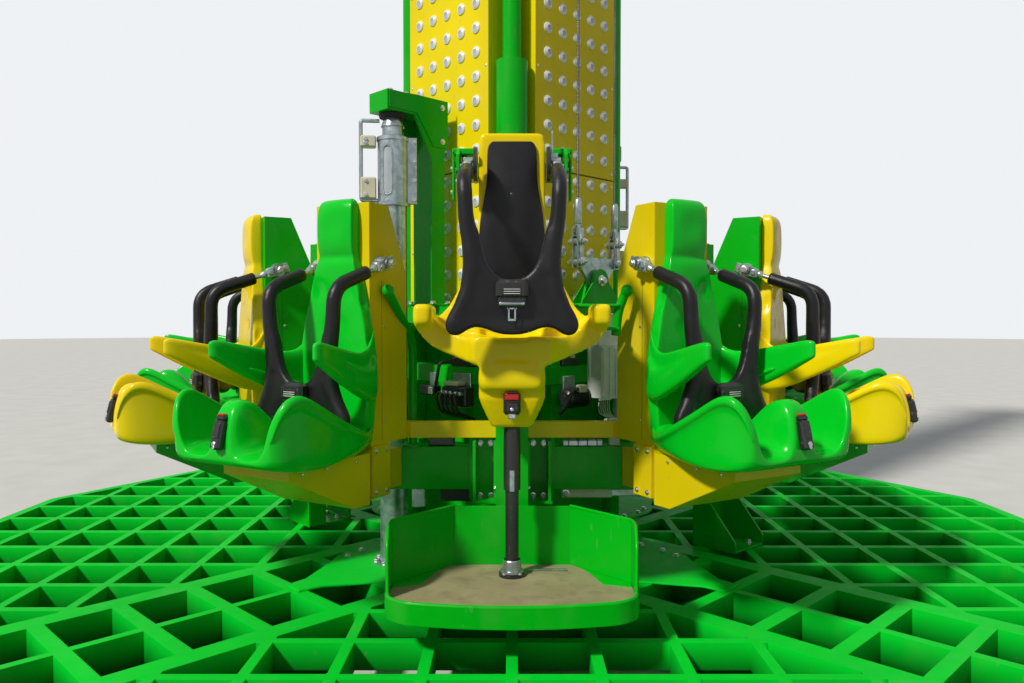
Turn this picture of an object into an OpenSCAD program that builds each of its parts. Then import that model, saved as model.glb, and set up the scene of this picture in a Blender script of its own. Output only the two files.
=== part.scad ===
// Drop tower ride: a steel lattice base, a square mast with light panels,
// and a carriage of ten seats and two standing places that climbs the mast.
// Up is +Z, the ground is z = 0 and the first standing place faces -Y.

/* [Base] */
// Distance from the middle of the base to its flat sides
base_apothem = 2950; // [2600:10:3300]
// Depth of the base frame
base_h = 200; // [160:5:260]
// Width of the long beams
beam_w = 100; // [80:1:130]
// Distance between the two beams of an arm, middle to middle
arm_gap = 720; // [640:5:800]
// Distance between the cross members of an arm
rung_pitch = 300; // [240:5:400]
// Width of the rim and of the cross members
rim_w = 60; // [40:1:90]
// Distance between the bars of the grid
grid_pitch = 290; // [240:5:360]
// Width of the grid bars
bar_w = 40; // [25:1:60]
// Depth of the grid bars
bar_h = 100; // [60:1:140]
// Height of the landing brackets above the base
landing_h = 270; // [200:1:320]

/* [Mast] */
// Half width of the mast across its light panels
mast_half = 452; // [440:1:500]
// Side of the square recess at each corner of the mast
notch = 156; // [140:1:170]
// Wall of the mast core
core_wall = 12; // [8:1:20]
// Height of one bay of light panels
bay_h = 1850; // [1500:10:2100]
// Number of bays
bays = 5; // [3:1:6]
// Height of the lower edge of the lowest panels
panel_low = 1330; // [1300:5:1400]
// Gap between two bays of panels
bay_gap = 6; // [3:1:12]
// Thickness of the panel sheet
sheet = 5; // [3:1:8]
// Outer diameter of the guide tubes
guide_d = 89; // [76:1:96]
// Wall of the guide tubes
guide_wall = 8; // [5:1:12]
// Distance of the guide tube from the inner walls of its recess
guide_off = 82; // [80:1:92]
// Thickness of the web behind each guide tube
web_t = 12; // [8:1:20]
// Thickness of the foot plate and of the head plate
plate_t = 20; // [12:1:30]

/* [Hoist] */
// Distance of the hoist cables from the mast axis
cable_r = 580; // [565:1:600]
// Half the distance between the two cables of a side
cable_s = 140; // [110:1:160]
// Diameter of a hoist cable
cable_d = 12; // [8:1:16]
// Radius of the head sheaves at the cable
sheave_r = 160; // [156:1:166]
// Height of the lug pin above the ground
lug_z = 1535; // [1520:1:1560]

/* [Carriage] */
// Distance of the carriage frame's middle line from the mast axis
frame_r = 550; // [545:1:565]
// Width of the frame tubes
frame_w = 80; // [60:1:84]
// Height of the middle of the lowest frame level
level_low = 720; // [700:1:740]
// Height of the middle of the second frame level
level_mid = 1090; // [1060:1:1120]
// Height of the middle of the top frame level
level_top = 1370; // [1350:1:1390]
// Outer diameter of the sleeves on the guide tubes
sleeve_d = 150; // [140:1:152]
// Clearance between sleeve and guide tube
sleeve_gap = 5; // [5:0.5:8]
// Height of the tops of the front and back sleeves above the ground
sleeve_top = 2550; // [2400:5:2650]
// Distance from the mast axis to the outer faces of the hexagonal ring
ring_apothem = 945; // [930:1:980]
// Width of the ring beams
ring_w = 100; // [80:1:110]
// Height of the ring beams
ring_h = 180; // [150:1:200]
// Height of the underside of the ring
ring_z = 632; // [600:1:660]

/* [Buffers] */
// Distance of the buffers from the mast axis
buffer_r = 785; // [775:1:795]
// Diameter of the buffer tube
buffer_d = 130; // [110:1:132]
// Diameter of the steel buffer cylinder
cylinder_d = 140; // [120:1:144]
// Height of the buffer heads above the ground
buffer_top = 2280; // [2240:1:2300]
// Width of the posts that land on the buffers
post_w = 140; // [100:1:150]
// Distance that these posts stand out from the middle line of the frame
post_out = 20; // [0:1:30]
// Depth of the arms on these posts
outrigger_h = 90; // [70:1:120]

/* [Seats] */
// Distance from the flats of the ring to the backs of the housings
housing_off = 155; // [150:1:175]
// Distance by which the lower part of a housing is set back from the ring
neck_l = 120; // [80:1:140]
// Height at which this lower part ends
housing_split = 860; // [850:1:862]
// Depth of the housings from front to back
housing_d = 230; // [200:1:232]
// Width of the housings
housing_w = 270; // [240:1:274]
// Height of the housings above the ground
housing_top = 1800; // [1740:1:1860]
// Height of the level underside of the housings
housing_low = 650; // [640:1:680]
// Width of the box under a seat pan
box_w = 380; // [320:1:420]
// Height of the underside of a seat pan
pan_low = 845; // [835:1:855]
// Half width of a seat pan
pan_w = 285; // [270:1:295]
// Distance from the front of the housing to the front of a seat pan
pan_depth = 600; // [570:1:630]
// Height of the top of a seat back
back_top = 1830; // [1805:1:1880]
// Thickness of a seat back
back_t = 62; // [50:1:66]
// Reach of a side wing from the front of the housing
wing_l = 432; // [400:1:450]
// Height of the underside of a wing's tip above the underside of the pan
wing_z = 365; // [350:1:380]

/* [Harness] */
// Distance of the shoulder pivots behind the fronts of the housings
pivot_in = 50; // [40:1:60]
// Height of the shoulder pivots of the seats
pivot_z = 1565; // [1555:1:1580]
// Half distance between the two arms of a harness
arm_s = 165; // [162:1:168]
// Diameter of the padded arms
arm_d = 56; // [44:1:60]
// Forward reach of the arms
arm_reach = 280; // [265:1:290]
// Drop of the arms over that reach
arm_drop = 100; // [85:1:115]
// Distance of the vest's lower edge below the pivots
vest_low = 600; // [585:1:605]
// Thickness of the vest
vest_t = 52; // [40:1:60]
// Diameter of the hinge pins
pin_d = 24; // [20:1:28]
// Diameter of the knuckles
knuckle_d = 56; // [50:1:60]
// Width of the knuckles
knuckle_w = 36; // [30:1:38]

/* [Standing place] */
// Height of the shoulder pivots of the standing places
stand_z = 1930; // [1920:1:1945]
// Height of the top of the standing shell
shell_top = 2070; // [2030:1:2100]
// Distance from the flats of the ring to the back of the shell
shell_off = 185; // [181:1:195]
// Distance of the shoulder pivots in front of the back of the shell
stand_pivot = 150; // [145:1:160]
// Length of the saddle
saddle_len = 320; // [300:1:340]
// Width of the square post that carries the place
stand_post = 130; // [110:1:140]
// Height of the platform floor above the ground
floor_z = 390; // [350:1:420]
// Distance from the back of the shell to the front edge of the platform
floor_len = 570; // [520:1:620]
// Half width of the platform
floor_w = 440; // [400:1:460]
// Height of the platform's side walls
wall_h = 230; // [200:1:240]
// Height of the platform's front rim
front_rim = 75; // [60:1:90]
// Diameter of the upper tube of the saddle post
saddle_d = 63; // [56:1:70]
// Diameter of the grab handles
handle_d = 34; // [28:1:40]

/* [Hidden] */

green = "limegreen";
yellow = "gold";
black = [0.12, 0.12, 0.13];
steel = "silver";
eps = 0.01;
seat_gap = 0.3;
// Play between a pin and its lug, on the diameter
pin_play = 0.6;

// The mast stands on its corner, so its faces look along the diagonals
mast_turn = 45;
core_half = mast_half - notch;
guide_c = core_half + guide_off;
core_chamfer = 40;
mast_z = base_h + plate_t;
mast_top = mast_z + bays * bay_h;
head_z = mast_top + plate_t;
sheave_z = head_z + sheave_r + 50;
hub_half = (arm_gap + beam_w) / 2;
housing_back = ring_apothem + housing_off;
housing_r = housing_back + housing_d;
pan_r = housing_r + pan_depth;
pivot_r = housing_r - pivot_in;
shell_r = ring_apothem + shell_off;
stand_pivot_r = shell_r + stand_pivot;
saddle_r = shell_r + saddle_len;
floor_r = shell_r + floor_len;
ring_top = ring_z + ring_h;
outer_r = base_apothem / cos(180 / 12);
rim_r = (base_apothem - rim_w) / cos(180 / 12);

// Seats stand every 30 degrees; the standing places are at 0 and 180
green_at = [30, 90, 150, 210, 270, 330];
yellow_at = [60, 120, 240, 300];
stand_at = [0, 180];

// Places its children at the angle a, counted from the front, with +X outward
module place_at(a) { rotate([0, 0, a - 90]) children(); }
module at_each(list) { for (a = list) place_at(a) children(); }
// Puts its children on a face of the mast, with +X out of the face
module on_face(a) { rotate([0, 0, a - 90]) children(); }

module box_from(x, y, z) {
  translate([x[0], y[0], z[0]]) cube([x[1] - x[0], y[1] - y[0], z[1] - z[0]]);
}
// Side profile in the plane of radius and height, with a width across
module side_profile(points, width) {
  translate([0, width / 2, 0]) rotate([90, 0, 0]) linear_extrude(width) polygon(points);
}
module square_at(x, y) { translate([x[0], y[0]]) square([x[1] - x[0], y[1] - y[0]]); }
module ground_outline(r) { rotate(15) circle(r = r, $fn = 12); }

// Plan of one ladder arm, which leaves the hub along +X
module arm_plan() {
  intersection() {
    ground_outline_turned(outer_r);
    union() {
      for (s = [-1, 1])
        translate([hub_half, s * arm_gap / 2 - beam_w / 2]) square([outer_r, beam_w]);
      difference() {
        translate([hub_half, -arm_gap / 2]) square([outer_r, arm_gap]);
        ground_outline_turned(rim_r);
      }
      for (x = [hub_half + rung_pitch : rung_pitch : rim_r - rung_pitch / 2])
        translate([x - rim_w / 2, -arm_gap / 2]) square([rim_w, arm_gap]);
      translate([hub_half, -bar_w / 2]) square([rim_r - hub_half, bar_w]);
    }
  }
}
module ground_outline_turned(r) { rotate(45) ground_outline(r); }

module base_hub() {
  color(green) rotate(mast_turn) {
    linear_extrude(base_h) {
      difference() {
        square(2 * hub_half, center = true);
        square(2 * (hub_half - beam_w), center = true);
      }
      square([2 * hub_half - beam_w, beam_w], center = true);
      square([beam_w, 2 * hub_half - beam_w], center = true);
    }
  }
}

module base_arms() {
  color(green) for (a = [45, 135, 225, 315]) place_at(a) linear_extrude(base_h) arm_plan();
}

// Bars parallel to the ride's front and side, cut to the wedge between two arms
module wedge_plan() {
  intersection() {
    ground_outline(outer_r);
    rotate(-45) square_at([hub_half, outer_r], [hub_half, outer_r]);
  }
}
module base_grid(a) {
  lines = [for (i = [-8 : 8]) i * grid_pitch];
  color(green) place_at(a) {
    translate([0, 0, base_h - bar_h]) linear_extrude(bar_h) intersection() {
      wedge_plan();
      union() {
        for (s = lines) translate([0, s - bar_w / 2]) square([outer_r, bar_w]);
        for (i = [2 : 9]) translate([i * grid_pitch, -outer_r]) square([bar_w, 2 * outer_r]);
        difference() {
          ground_outline(outer_r + 1);
          ground_outline(rim_r);
        }
      }
    }
    linear_extrude(base_h - bar_h) difference() {
      wedge_plan();
      ground_outline(rim_r);
    }
  }
}

module landing_brackets() {
  reach = 230;
  half = 130;
  wall = 12;
  color(green) for (k = [0, 180]) rotate(k) translate([1040, -200, base_h]) rotate(-100) {
    box_from([0, wall], [-half, half], [0, landing_h]);
    box_from([wall, reach], [-half, half], [0, wall]);
    for (y = [-half, half - wall]) translate([0, y + wall, 0]) rotate([90, 0, 0])
      linear_extrude(wall)
        polygon([[wall, wall], [reach, wall], [reach, 60], [wall + 60, landing_h], [wall, landing_h]]);
  }
}

module core_plan(half) {
  c = core_chamfer;
  polygon([for (k = [0 : 3]) each [[half, -half + c], [half, half - c]] * turn2(90 * k)]);
}
// Row-vector turn of a plan point
function turn2(a) = [[cos(a), sin(a)], [-sin(a), cos(a)]];

module mast_core() {
  color(green) rotate(mast_turn) {
    translate([0, 0, base_h]) linear_extrude(plate_t) square(2 * mast_half, center = true);
    translate([0, 0, mast_z]) linear_extrude(mast_top - mast_z - seat_gap) difference() {
      core_plan(core_half);
      core_plan(core_half - core_wall);
    }
  }
}

// Distance of the chamfer of the core along the diagonal
core_diag = (2 * core_half - core_chamfer) / sqrt(2);
module guide_rails() {
  color(green) for (a = [0, 90, 180, 270]) place_at(a) translate([0, 0, mast_z]) {
    linear_extrude(mast_top - mast_z) difference() {
      union() {
        translate([guide_c * sqrt(2), 0]) circle(d = guide_d, $fn = 48);
        square_at([core_diag + seat_gap, guide_c * sqrt(2)], [-web_t / 2, web_t / 2]);
      }
      translate([guide_c * sqrt(2), 0]) circle(d = guide_d - 2 * guide_wall, $fn = 48);
    }
  }
}

// Section of a tray, drawn in by the distance o, with its inner edges cut beside the webs
panel_cut = web_t / sqrt(2) + 2;
module panel_plan(o) {
  half = core_half - o;
  cut = panel_cut - (2 - sqrt(2)) * o;
  polygon([[core_half + o, -half + cut], [core_half + o + cut, -half], [mast_half - o, -half],
    [mast_half - o, half], [core_half + o + cut, half], [core_half + o, half - cut]]);
}
// One face of the mast: folded trays, one above the other
module light_panels(a) {
  back = core_half - 2 * core_chamfer;
  color(yellow) on_face(a) for (i = [0 : bays - 1]) let (low = max(panel_low, mast_z + i * bay_h))
    translate([0, 0, low]) linear_extrude(mast_z + (i + 1) * bay_h - bay_gap - low) difference() {
      panel_plan(0);
      panel_plan(sheet);
      square_at([core_half - 1, core_half + sheet + 1], [-back, back]);
    }
}

head_pin_d = 40;
module mast_head() {
  cheek = 12;
  pin_z = sheave_z - head_z;
  color(green) {
    translate([0, 0, mast_top]) linear_extrude(plate_t) difference() {
      rotate(mast_turn) square(2 * (mast_half + 15), center = true);
      for (a = [45, 225]) on_face(a) for (s = [-1, 1])
        translate([cable_r - 2 * sheave_r, s * cable_s]) circle(d = 5 * cable_d, $fn = 32);
    }
    for (a = [45, 225]) on_face(a) for (s = [-1, 1], t = [-1, 1])
      translate([cable_r - sheave_r, s * cable_s + t * 34 + cheek / 2, head_z])
        rotate([90, 0, 0]) linear_extrude(cheek) difference() {
          polygon([[-90, 0], [-45, pin_z + 40], [45, pin_z + 40], [50, 0]]);
          translate([0, pin_z]) circle(d = head_pin_d, $fn = 32);
        }
  }
}

module head_sheaves() {
  rim = sheave_r + 4;
  groove = sheave_r - cable_d / 2 - seat_gap;
  color(steel) for (a = [45, 225]) on_face(a) for (s = [-1, 1])
    translate([cable_r - sheave_r, s * cable_s, sheave_z]) rotate([90, 0, 0]) {
      rotate_extrude($fn = 64) polygon([[0, -20], [rim, -20], [rim, -14], [groove, -4], [groove, 4],
        [rim, 14], [rim, 20], [0, 20]]);
      cylinder(h = 104, d = head_pin_d - pin_play, center = true, $fn = 32);
    }
}

// The cable over each sheave, and its inner fall down to a crosshead in the core
crosshead_z = mast_top - 500;
module cable_returns() {
  fall_r = cable_r - 2 * sheave_r;
  color(steel) for (a = [45, 225]) on_face(a) {
    for (s = [-1, 1]) translate([cable_r - sheave_r, s * cable_s, sheave_z]) {
      rotate([90, 0, 0]) rotate_extrude(angle = 180, $fn = 64)
        translate([sheave_r, 0]) circle(d = cable_d, $fn = 12);
      translate([-sheave_r, 0, crosshead_z - sheave_z])
        cylinder(h = sheave_z - crosshead_z, d = cable_d, $fn = 24);
    }
    box_from([fall_r - 30, fall_r + 12], [-cable_s - 40, cable_s + 40],
      [crosshead_z - 60, crosshead_z + eps]);
  }
}

ferrule_z = lug_z + 265;
ferrule_h = 120;
cable_z = ferrule_z + ferrule_h;
module hoist_cables() {
  color(steel) for (a = [45, 225]) on_face(a) for (s = [-1, 1])
    translate([cable_r, s * cable_s, cable_z]) cylinder(h = sheave_z - cable_z, d = cable_d, $fn = 24);
}

tube_top = buffer_top - 400;
module buffers() {
  for (a = [315, 135]) on_face(a) translate([buffer_r, 0, 0]) {
    color(steel) {
      translate([0, 0, base_h]) cylinder(h = 15, d = buffer_d + 70, $fn = 48);
      translate([0, 0, base_h]) cylinder(h = tube_top - base_h, d = buffer_d, $fn = 48);
      translate([0, 0, tube_top]) cylinder(h = buffer_top - 90 - tube_top, d = cylinder_d, $fn = 48);
      translate([0, 0, buffer_top - 90]) cylinder(h = 50, d = 96, $fn = 48);
      translate([0, 0, buffer_top - 40]) cylinder(h = 40, d1 = 110, d2 = 80, $fn = 48);
    }
  }
}

// Heights of the frame levels and the places that they carry
levels = [level_low, level_mid, level_top];
frame_in = frame_r - frame_w / 2;
frame_out = frame_r + frame_w / 2;
ring_in = ring_apothem - ring_w;

// One side of the frame around the mast; each side laps the next at one corner
module carriage_side(a) {
  color(green) on_face(a) {
    for (z = levels) box_from([frame_in, frame_out], [-frame_in, frame_out], [z - 40, z + 40]);
    for (s = [-1, 1]) box_from([frame_in + 5, frame_out - 5], [s * 300 - 30, s * 300 + 30],
      [level_low, level_top]);
  }
}

// Sleeves on the guide tubes, tall at the front and back and short at the sides
module carriage_sleeves() {
  c = guide_c;
  low = level_low - 60;
  color(green) for (k = [[45, level_top + 60], [135, sleeve_top], [225, level_top + 60], [315, sleeve_top]])
    on_face(k[0]) difference() {
    union() {
      translate([c, c, low]) cylinder(h = k[1] - low, d = sleeve_d, $fn = 48);
      for (z = levels) {
        box_from([c, frame_in], [c - 50, c + 50], [z - 40, z + 40]);
        box_from([c - 50, c + 50], [c, frame_in], [z - 40, z + 40]);
      }
    }
    translate([c, c, 0]) cylinder(h = 2 * sleeve_top, d = guide_d + 2 * sleeve_gap, $fn = 48);
    translate([c, c, 0]) rotate(225)
      box_from([0, sleeve_d], [-web_t / 2 - sleeve_gap, web_t / 2 + sleeve_gap], [0, 2 * sleeve_top]);
  }
}

// Posts that stand on the frame and reach out over the buffers
outrigger_z = buffer_top + 22;
module buffer_posts() {
  front = frame_out + post_out;
  top = outrigger_z + outrigger_h;
  gusset = 12;
  color(green) for (a = [315, 135]) on_face(a) {
    box_from([frame_in + post_out, front], [-post_w / 2, post_w / 2], [lug_foot, top]);
    box_from([front, buffer_r + 80], [-post_w / 2, post_w / 2], [outrigger_z, top]);
    for (s = [-1, 1]) translate([front, s * (post_w - gusset) / 2 + gusset / 2, 0]) rotate([90, 0, 0])
      linear_extrude(gusset) polygon([[0, outrigger_z - 190], [100, outrigger_z], [0, outrigger_z]]);
  }
}
module buffer_pads() {
  color(black) for (a = [315, 135]) on_face(a)
    translate([buffer_r, 0, buffer_top + seat_gap])
      cylinder(h = outrigger_z - buffer_top - seat_gap, d = 118, $fn = 48);
}

// Extrudes a plan drawn in the plane across and up, outward from the radius x
module face_plate(x, t) { translate([x, 0, 0]) rotate([90, 0, 90]) linear_extrude(t) children(); }

// A pair of round lugs on the frame, one on each side of the balance plate
lug_t = 14;
lug_pin_d = 30;
link_pin_d = 24;
yoke_t = 18;
lug_foot = level_top + frame_w / 2;
module hoist_lugs() {
  color(green) for (a = [45, 225]) on_face(a) {
    box_from([frame_r - 20, cable_r + 32], [-95, 95], [lug_foot, lug_foot + 15]);
    for (x = [cable_r - yoke_t / 2 - 2 - lug_t, cable_r + yoke_t / 2 + 2]) face_plate(x, lug_t)
      difference() {
        union() {
          translate([0, lug_z]) circle(r = 50, $fn = 48);
          polygon([[-90, lug_foot + 14], [90, lug_foot + 14], [48, lug_z + 14], [-48, lug_z + 14]]);
        }
        translate([0, lug_z]) circle(d = lug_pin_d, $fn = 32);
      }
  }
}

// Balance plate with its pin, shackle links and cable ferrules of each side
module hoist_yokes() {
  link_low = lug_z + 60;
  link_pin = lug_z + 85;
  color(steel) for (a = [45, 225]) on_face(a) {
    face_plate(cable_r - yoke_t / 2, yoke_t) difference() {
      polygon([[-cable_s - 30, lug_z + 110], [cable_s + 30, lug_z + 110],
        [40, lug_z - 40], [-40, lug_z - 40]]);
      for (s = [-1, 1]) translate([s * cable_s, link_pin]) circle(d = link_pin_d, $fn = 24);
    }
    translate([cable_r - 36, 0, lug_z]) rotate([0, 90, 0])
      cylinder(h = 72, d = lug_pin_d - pin_play, $fn = 32);
    for (s = [-1, 1]) translate([cable_r, s * cable_s, 0]) {
      for (t = [-1, 1]) box_from([t * 16 - 5, t * 16 + 5], [-20, 20], [link_low, ferrule_z - 20]);
      translate([-32, 0, link_pin]) rotate([0, 90, 0])
        cylinder(h = 64, d = link_pin_d - pin_play, $fn = 24);
      box_from([-16, 16], [-20, 20], [ferrule_z - 60, ferrule_z - 20]);
      translate([0, 0, ferrule_z - 21]) cylinder(h = ferrule_h + 21, d = 30, $fn = 32);
    }
  }
}

module ring_plan(r) { circle(r = r / cos(30), $fn = 6); }
module ring_beam() {
  color(green) translate([0, 0, ring_z]) linear_extrude(ring_h) difference() {
    ring_plan(ring_apothem);
    ring_plan(ring_in);
  }
}
// Spokes beside the buffers and short ties at the frame's corners
module ring_spokes() {
  spoke_s = 230;
  color(green) translate([0, 0, level_low - frame_w / 2]) linear_extrude(frame_w) {
    intersection() {
      ring_plan(ring_in);
      for (a = [45, 135, 225, 315], s = [-1, 1]) on_face(a)
        square_at([frame_out, ring_apothem], [s * spoke_s - frame_w / 2, s * spoke_s + frame_w / 2]);
    }
    difference() {
      intersection() {
        ring_plan(ring_in);
        for (a = [0, 90, 180, 270]) place_at(a) square_at([frame_r, ring_apothem + ring_w], [-50, 50]);
      }
      rotate(mast_turn) square(2 * frame_out, center = true);
    }
  }
}

module control_box() {
  front = frame_out + 85;
  low = level_mid - 115;
  high = level_mid + 130;
  color("gainsboro") on_face(45) {
    box_from([frame_out, front], [-80, 80], [low, high]);
    box_from([front, front + 6], [-86, 86], [low - 6, high + 6]);
  }
}

// Guard rails from the housings beside a standing place to its square post
module guard_rails() {
  low = ring_top + 51;
  back = shell_r - stand_post;
  color(yellow) at_each(stand_at) for (s = [0, 1]) mirror([0, s, 0])
    translate([0, 0, low]) linear_extrude(67) difference() {
      square_at([back, back + 30], [stand_post / 2, ring_apothem]);
      rotate(30) square_at([housing_back, 2 * housing_r], [-housing_r, housing_r]);
    }
}

// A skin over sections of equally many points, each turning left seen from the far end
module loft(rows) {
  n = len(rows[0]);
  last = (len(rows) - 1) * n;
  polyhedron(points = [for (row = rows) each row], faces = concat(
    [[for (i = [0 : n - 1]) i]],
    [[for (i = [n - 1 : -1 : 0]) last + i]],
    [for (j = [0 : len(rows) - 2], i = [0 : n - 1]) let (a = j * n + i, b = j * n + (i + 1) % n)
      each [[a, a + n, b], [b, a + n, b + n]]]));
}
function mix(a, b, t) = a + (b - a) * t;

back_r = housing_r + seat_gap;
neck_w = 140;
// Column and under-seat box of a seat, with a neck that joins its lower part to the ring
module housing(ring_side) {
  w = housing_w / 2;
  box_r = pan_r - 150;
  low_r = housing_back + neck_l;
  flange = 10;
  intersection() {
    side_profile([[low_r, housing_low], [housing_r + 150, housing_low], [box_r, housing_low + 150],
      [box_r, pan_low - seat_gap], [housing_r, pan_low - seat_gap], [housing_r, housing_top],
      [housing_r - housing_d / 2, housing_top], [housing_back, housing_top - 270],
      [housing_back, housing_split], [low_r, housing_split]], 2 * box_w);
    linear_extrude(2 * housing_top) polygon([[housing_back, -w], [housing_r, -w],
      [housing_r + 70, -box_w / 2], [box_r, -box_w / 2 + 30], [box_r, box_w / 2 - 30],
      [housing_r + 70, box_w / 2], [housing_r, w], [housing_back, w]]);
  }
  translate([0, 0, housing_low]) linear_extrude(ring_top - housing_low)
    polygon(concat([[low_r + 1, -neck_w / 2], [low_r + 1, neck_w / 2]], ring_side));
  for (s = [0, 1]) mirror([0, s, 0]) box_from([low_r, housing_r], [w - 1, w + flange],
    [housing_low + 5, housing_split - 5]);
}
module yellow_housings() {
  half = neck_w / 2;
  corner_r = ring_apothem / cos(30) + seat_gap;
  side_r = corner_r - half * tan(30);
  color(yellow) at_each(green_at) housing([[side_r, half], [corner_r, 0], [side_r, -half]]);
}
module green_housings() {
  half = neck_w / 2;
  color(green) at_each(yellow_at) housing([[ring_apothem, half], [ring_apothem, -half]]);
}

// Rows of a seat back: share of its height, half width, thickness in the middle and at the edge
back_rows = [[0, 1, 1.1, 1], [0.2, 1, 1.05, 1.1], [0.36, 0.91, 0.95, 1.05], [0.5, 0.79, 0.93, 0.95],
  [0.63, 0.655, 0.97, 0.8], [0.72, 0.56, 1, 0.74], [0.785, 0.51, 0.86, 0.64], [0.85, 0.545, 1, 0.74],
  [0.965, 0.535, 0.94, 0.7], [1, 0.44, 0.6, 0.48]];
back_w = 200;
module seat_back() {
  low = pan_low + 35;
  loft([for (row = back_rows) let (z = mix(low, back_top, row[0]), w = back_w * row[1],
    tc = back_t * row[2], te = back_t * row[3])
    [[back_r, -w, z], [back_r + 0.7 * te, -w, z], [back_r + te, -0.86 * w, z], [back_r + tc, -0.45 * w, z],
     [back_r + tc, 0.45 * w, z], [back_r + te, 0.86 * w, z], [back_r + 0.7 * te, w, z], [back_r, w, z]]]);
}

// Rows of a seat pan: share of its length, half width, and heights above its underside
// of the seat, of the hump between the legs, of the side lobes and of the underside
pan_rows = [[0, 0.74, 130, 130, 140, 0], [0.12, 0.9, 98, 98, 108, 0], [0.25, 0.98, 84, 85, 96, 0],
  [0.45, 1, 80, 86, 120, 0], [0.62, 1, 82, 122, 190, 0], [0.77, 1, 84, 200, 254, 3],
  [0.87, 0.99, 84, 230, 266, 10], [0.955, 0.94, 74, 204, 240, 20], [1, 0.85, 52, 135, 165, 34]];
// Points across the top: share of the half width, and the mix of seat, hump and lobe there
function pan_top(seat, hump, lobe) = [[1, lobe * 0.55 + 12], [0.97, lobe - 22], [0.88, lobe],
  [0.76, mix(lobe, seat, 0.32)], [0.62, mix(seat, lobe, 0.12)], [0.4, seat], [0.24, mix(seat, hump, 0.3)],
  [0.13, mix(seat, hump, 0.9)], [0, hump]];
module seat_pan() {
  loft([for (row = pan_rows) let (x = mix(back_r, pan_r, row[0]), w = pan_w * row[1],
    top = pan_top(row[2], row[3], row[4]), low = row[5])
    concat([[x, -0.9 * w, pan_low + low + 22], [x, -0.62 * w, pan_low + low],
      [x, 0.62 * w, pan_low + low], [x, 0.9 * w, pan_low + low + 22]],
      [for (p = top) [x, p[0] * w, pan_low + p[1]]],
      [for (i = [len(top) - 2 : -1 : 0]) [x, -top[i][0] * w, pan_low + top[i][1]]])]);
}

// Side wing of a seat, deep where it leaves the back and thin at its tip
module seat_wing() {
  low = pan_low + wing_z;
  tip = back_r + wing_l;
  hull() {
    box_from([back_r + 8, back_r + 70], [back_w - 18, back_w + 45], [low - 175, low - 40]);
    box_from([tip - 90, tip - 30], [back_w + 27, back_w + 64], [low, low + 50]);
    box_from([tip - 13, tip], [back_w + 34, back_w + 60], [low + 13, low + 55]);
  }
}
module seat() {
  seat_back();
  seat_pan();
  for (s = [0, 1]) mirror([0, s, 0]) seat_wing();
}
module green_seats() { color(green) at_each(green_at) seat(); }
module yellow_seats() { color(yellow) at_each(yellow_at) seat(); }

// Hinge pins of the seats' harnesses, on the sides of the housings
module pivot_pins() {
  inner = housing_w / 2;
  color(steel) at_each(concat(green_at, yellow_at)) for (s = [0, 1]) mirror([0, s, 0])
    translate([pivot_r, inner, pivot_z]) rotate([-90, 0, 0]) {
      cylinder(h = arm_s - knuckle_w / 2 - inner - 1, d = knuckle_d + 4, $fn = 48);
      cylinder(h = arm_s + knuckle_w / 2 - inner + 10, d = pin_d, $fn = 48);
      translate([0, 0, arm_s + knuckle_w / 2 - inner + 1]) cylinder(h = 9, d = 40, $fn = 48);
    }
}

// Front view of the vest from its top edge, left half: across and down from the pivots
vest_half = [[arm_s + 20, -0.48], [arm_s + 19, -0.62], [arm_s + 26, -0.78], [arm_s + 46, -0.93],
  [arm_s + 50, -0.97], [arm_s + 38, -1], [arm_s, -0.995], [arm_s - 60, -0.955], [60, -0.965]];
vest_inner = [[arm_s - 24, -0.48], [arm_s - 45, -0.58], [arm_s - 75, -0.665], [55, -0.72], [0, -0.735]];
module vest_plan() {
  outer = [for (p = vest_half) [p[0], p[1] * vest_low]];
  inner = [for (p = vest_inner) [p[0], p[1] * vest_low]];
  polygon(concat([for (i = [0 : len(outer) - 1]) outer[i]], [[0, -0.985 * vest_low]],
    [for (i = [len(outer) - 1 : -1 : 0]) [-outer[i][0], outer[i][1]]],
    [for (p = inner) [-p[0], p[1]]], [for (i = [len(inner) - 2 : -1 : 0]) inner[i]]));
}
// A round bar between two points
module rod(a, b, d) {
  v = b - a;
  translate(a) rotate([0, acos(v[2] / norm(v)), atan2(v[1], v[0])]) cylinder(h = norm(v), d = d, $fn = 24);
}
module harness(a, r, z) {
  color(black) place_at(a) translate([r, 0, z]) difference() {
    union() {
      for (y = [-arm_s, arm_s]) {
        translate([0, y + knuckle_w / 2, 0]) rotate([90, 0, 0])
          cylinder(h = knuckle_w, d = knuckle_d, $fn = 48);
        rod([0, y, 0], [arm_reach, y, -arm_drop], knuckle_w);
        translate([arm_reach, y, -arm_drop]) sphere(d = arm_d + 2, $fn = 32);
        rod([arm_reach, y, -arm_drop], [arm_reach, y, -0.52 * vest_low], arm_d);
      }
      translate([arm_reach - vest_t / 2, 0, 0]) rotate([90, 0, 90]) linear_extrude(vest_t) vest_plan();
    }
    rotate([90, 0, 0]) cylinder(h = 3 * arm_s, d = pin_d + 1, center = true, $fn = 48);
  }
}

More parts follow.
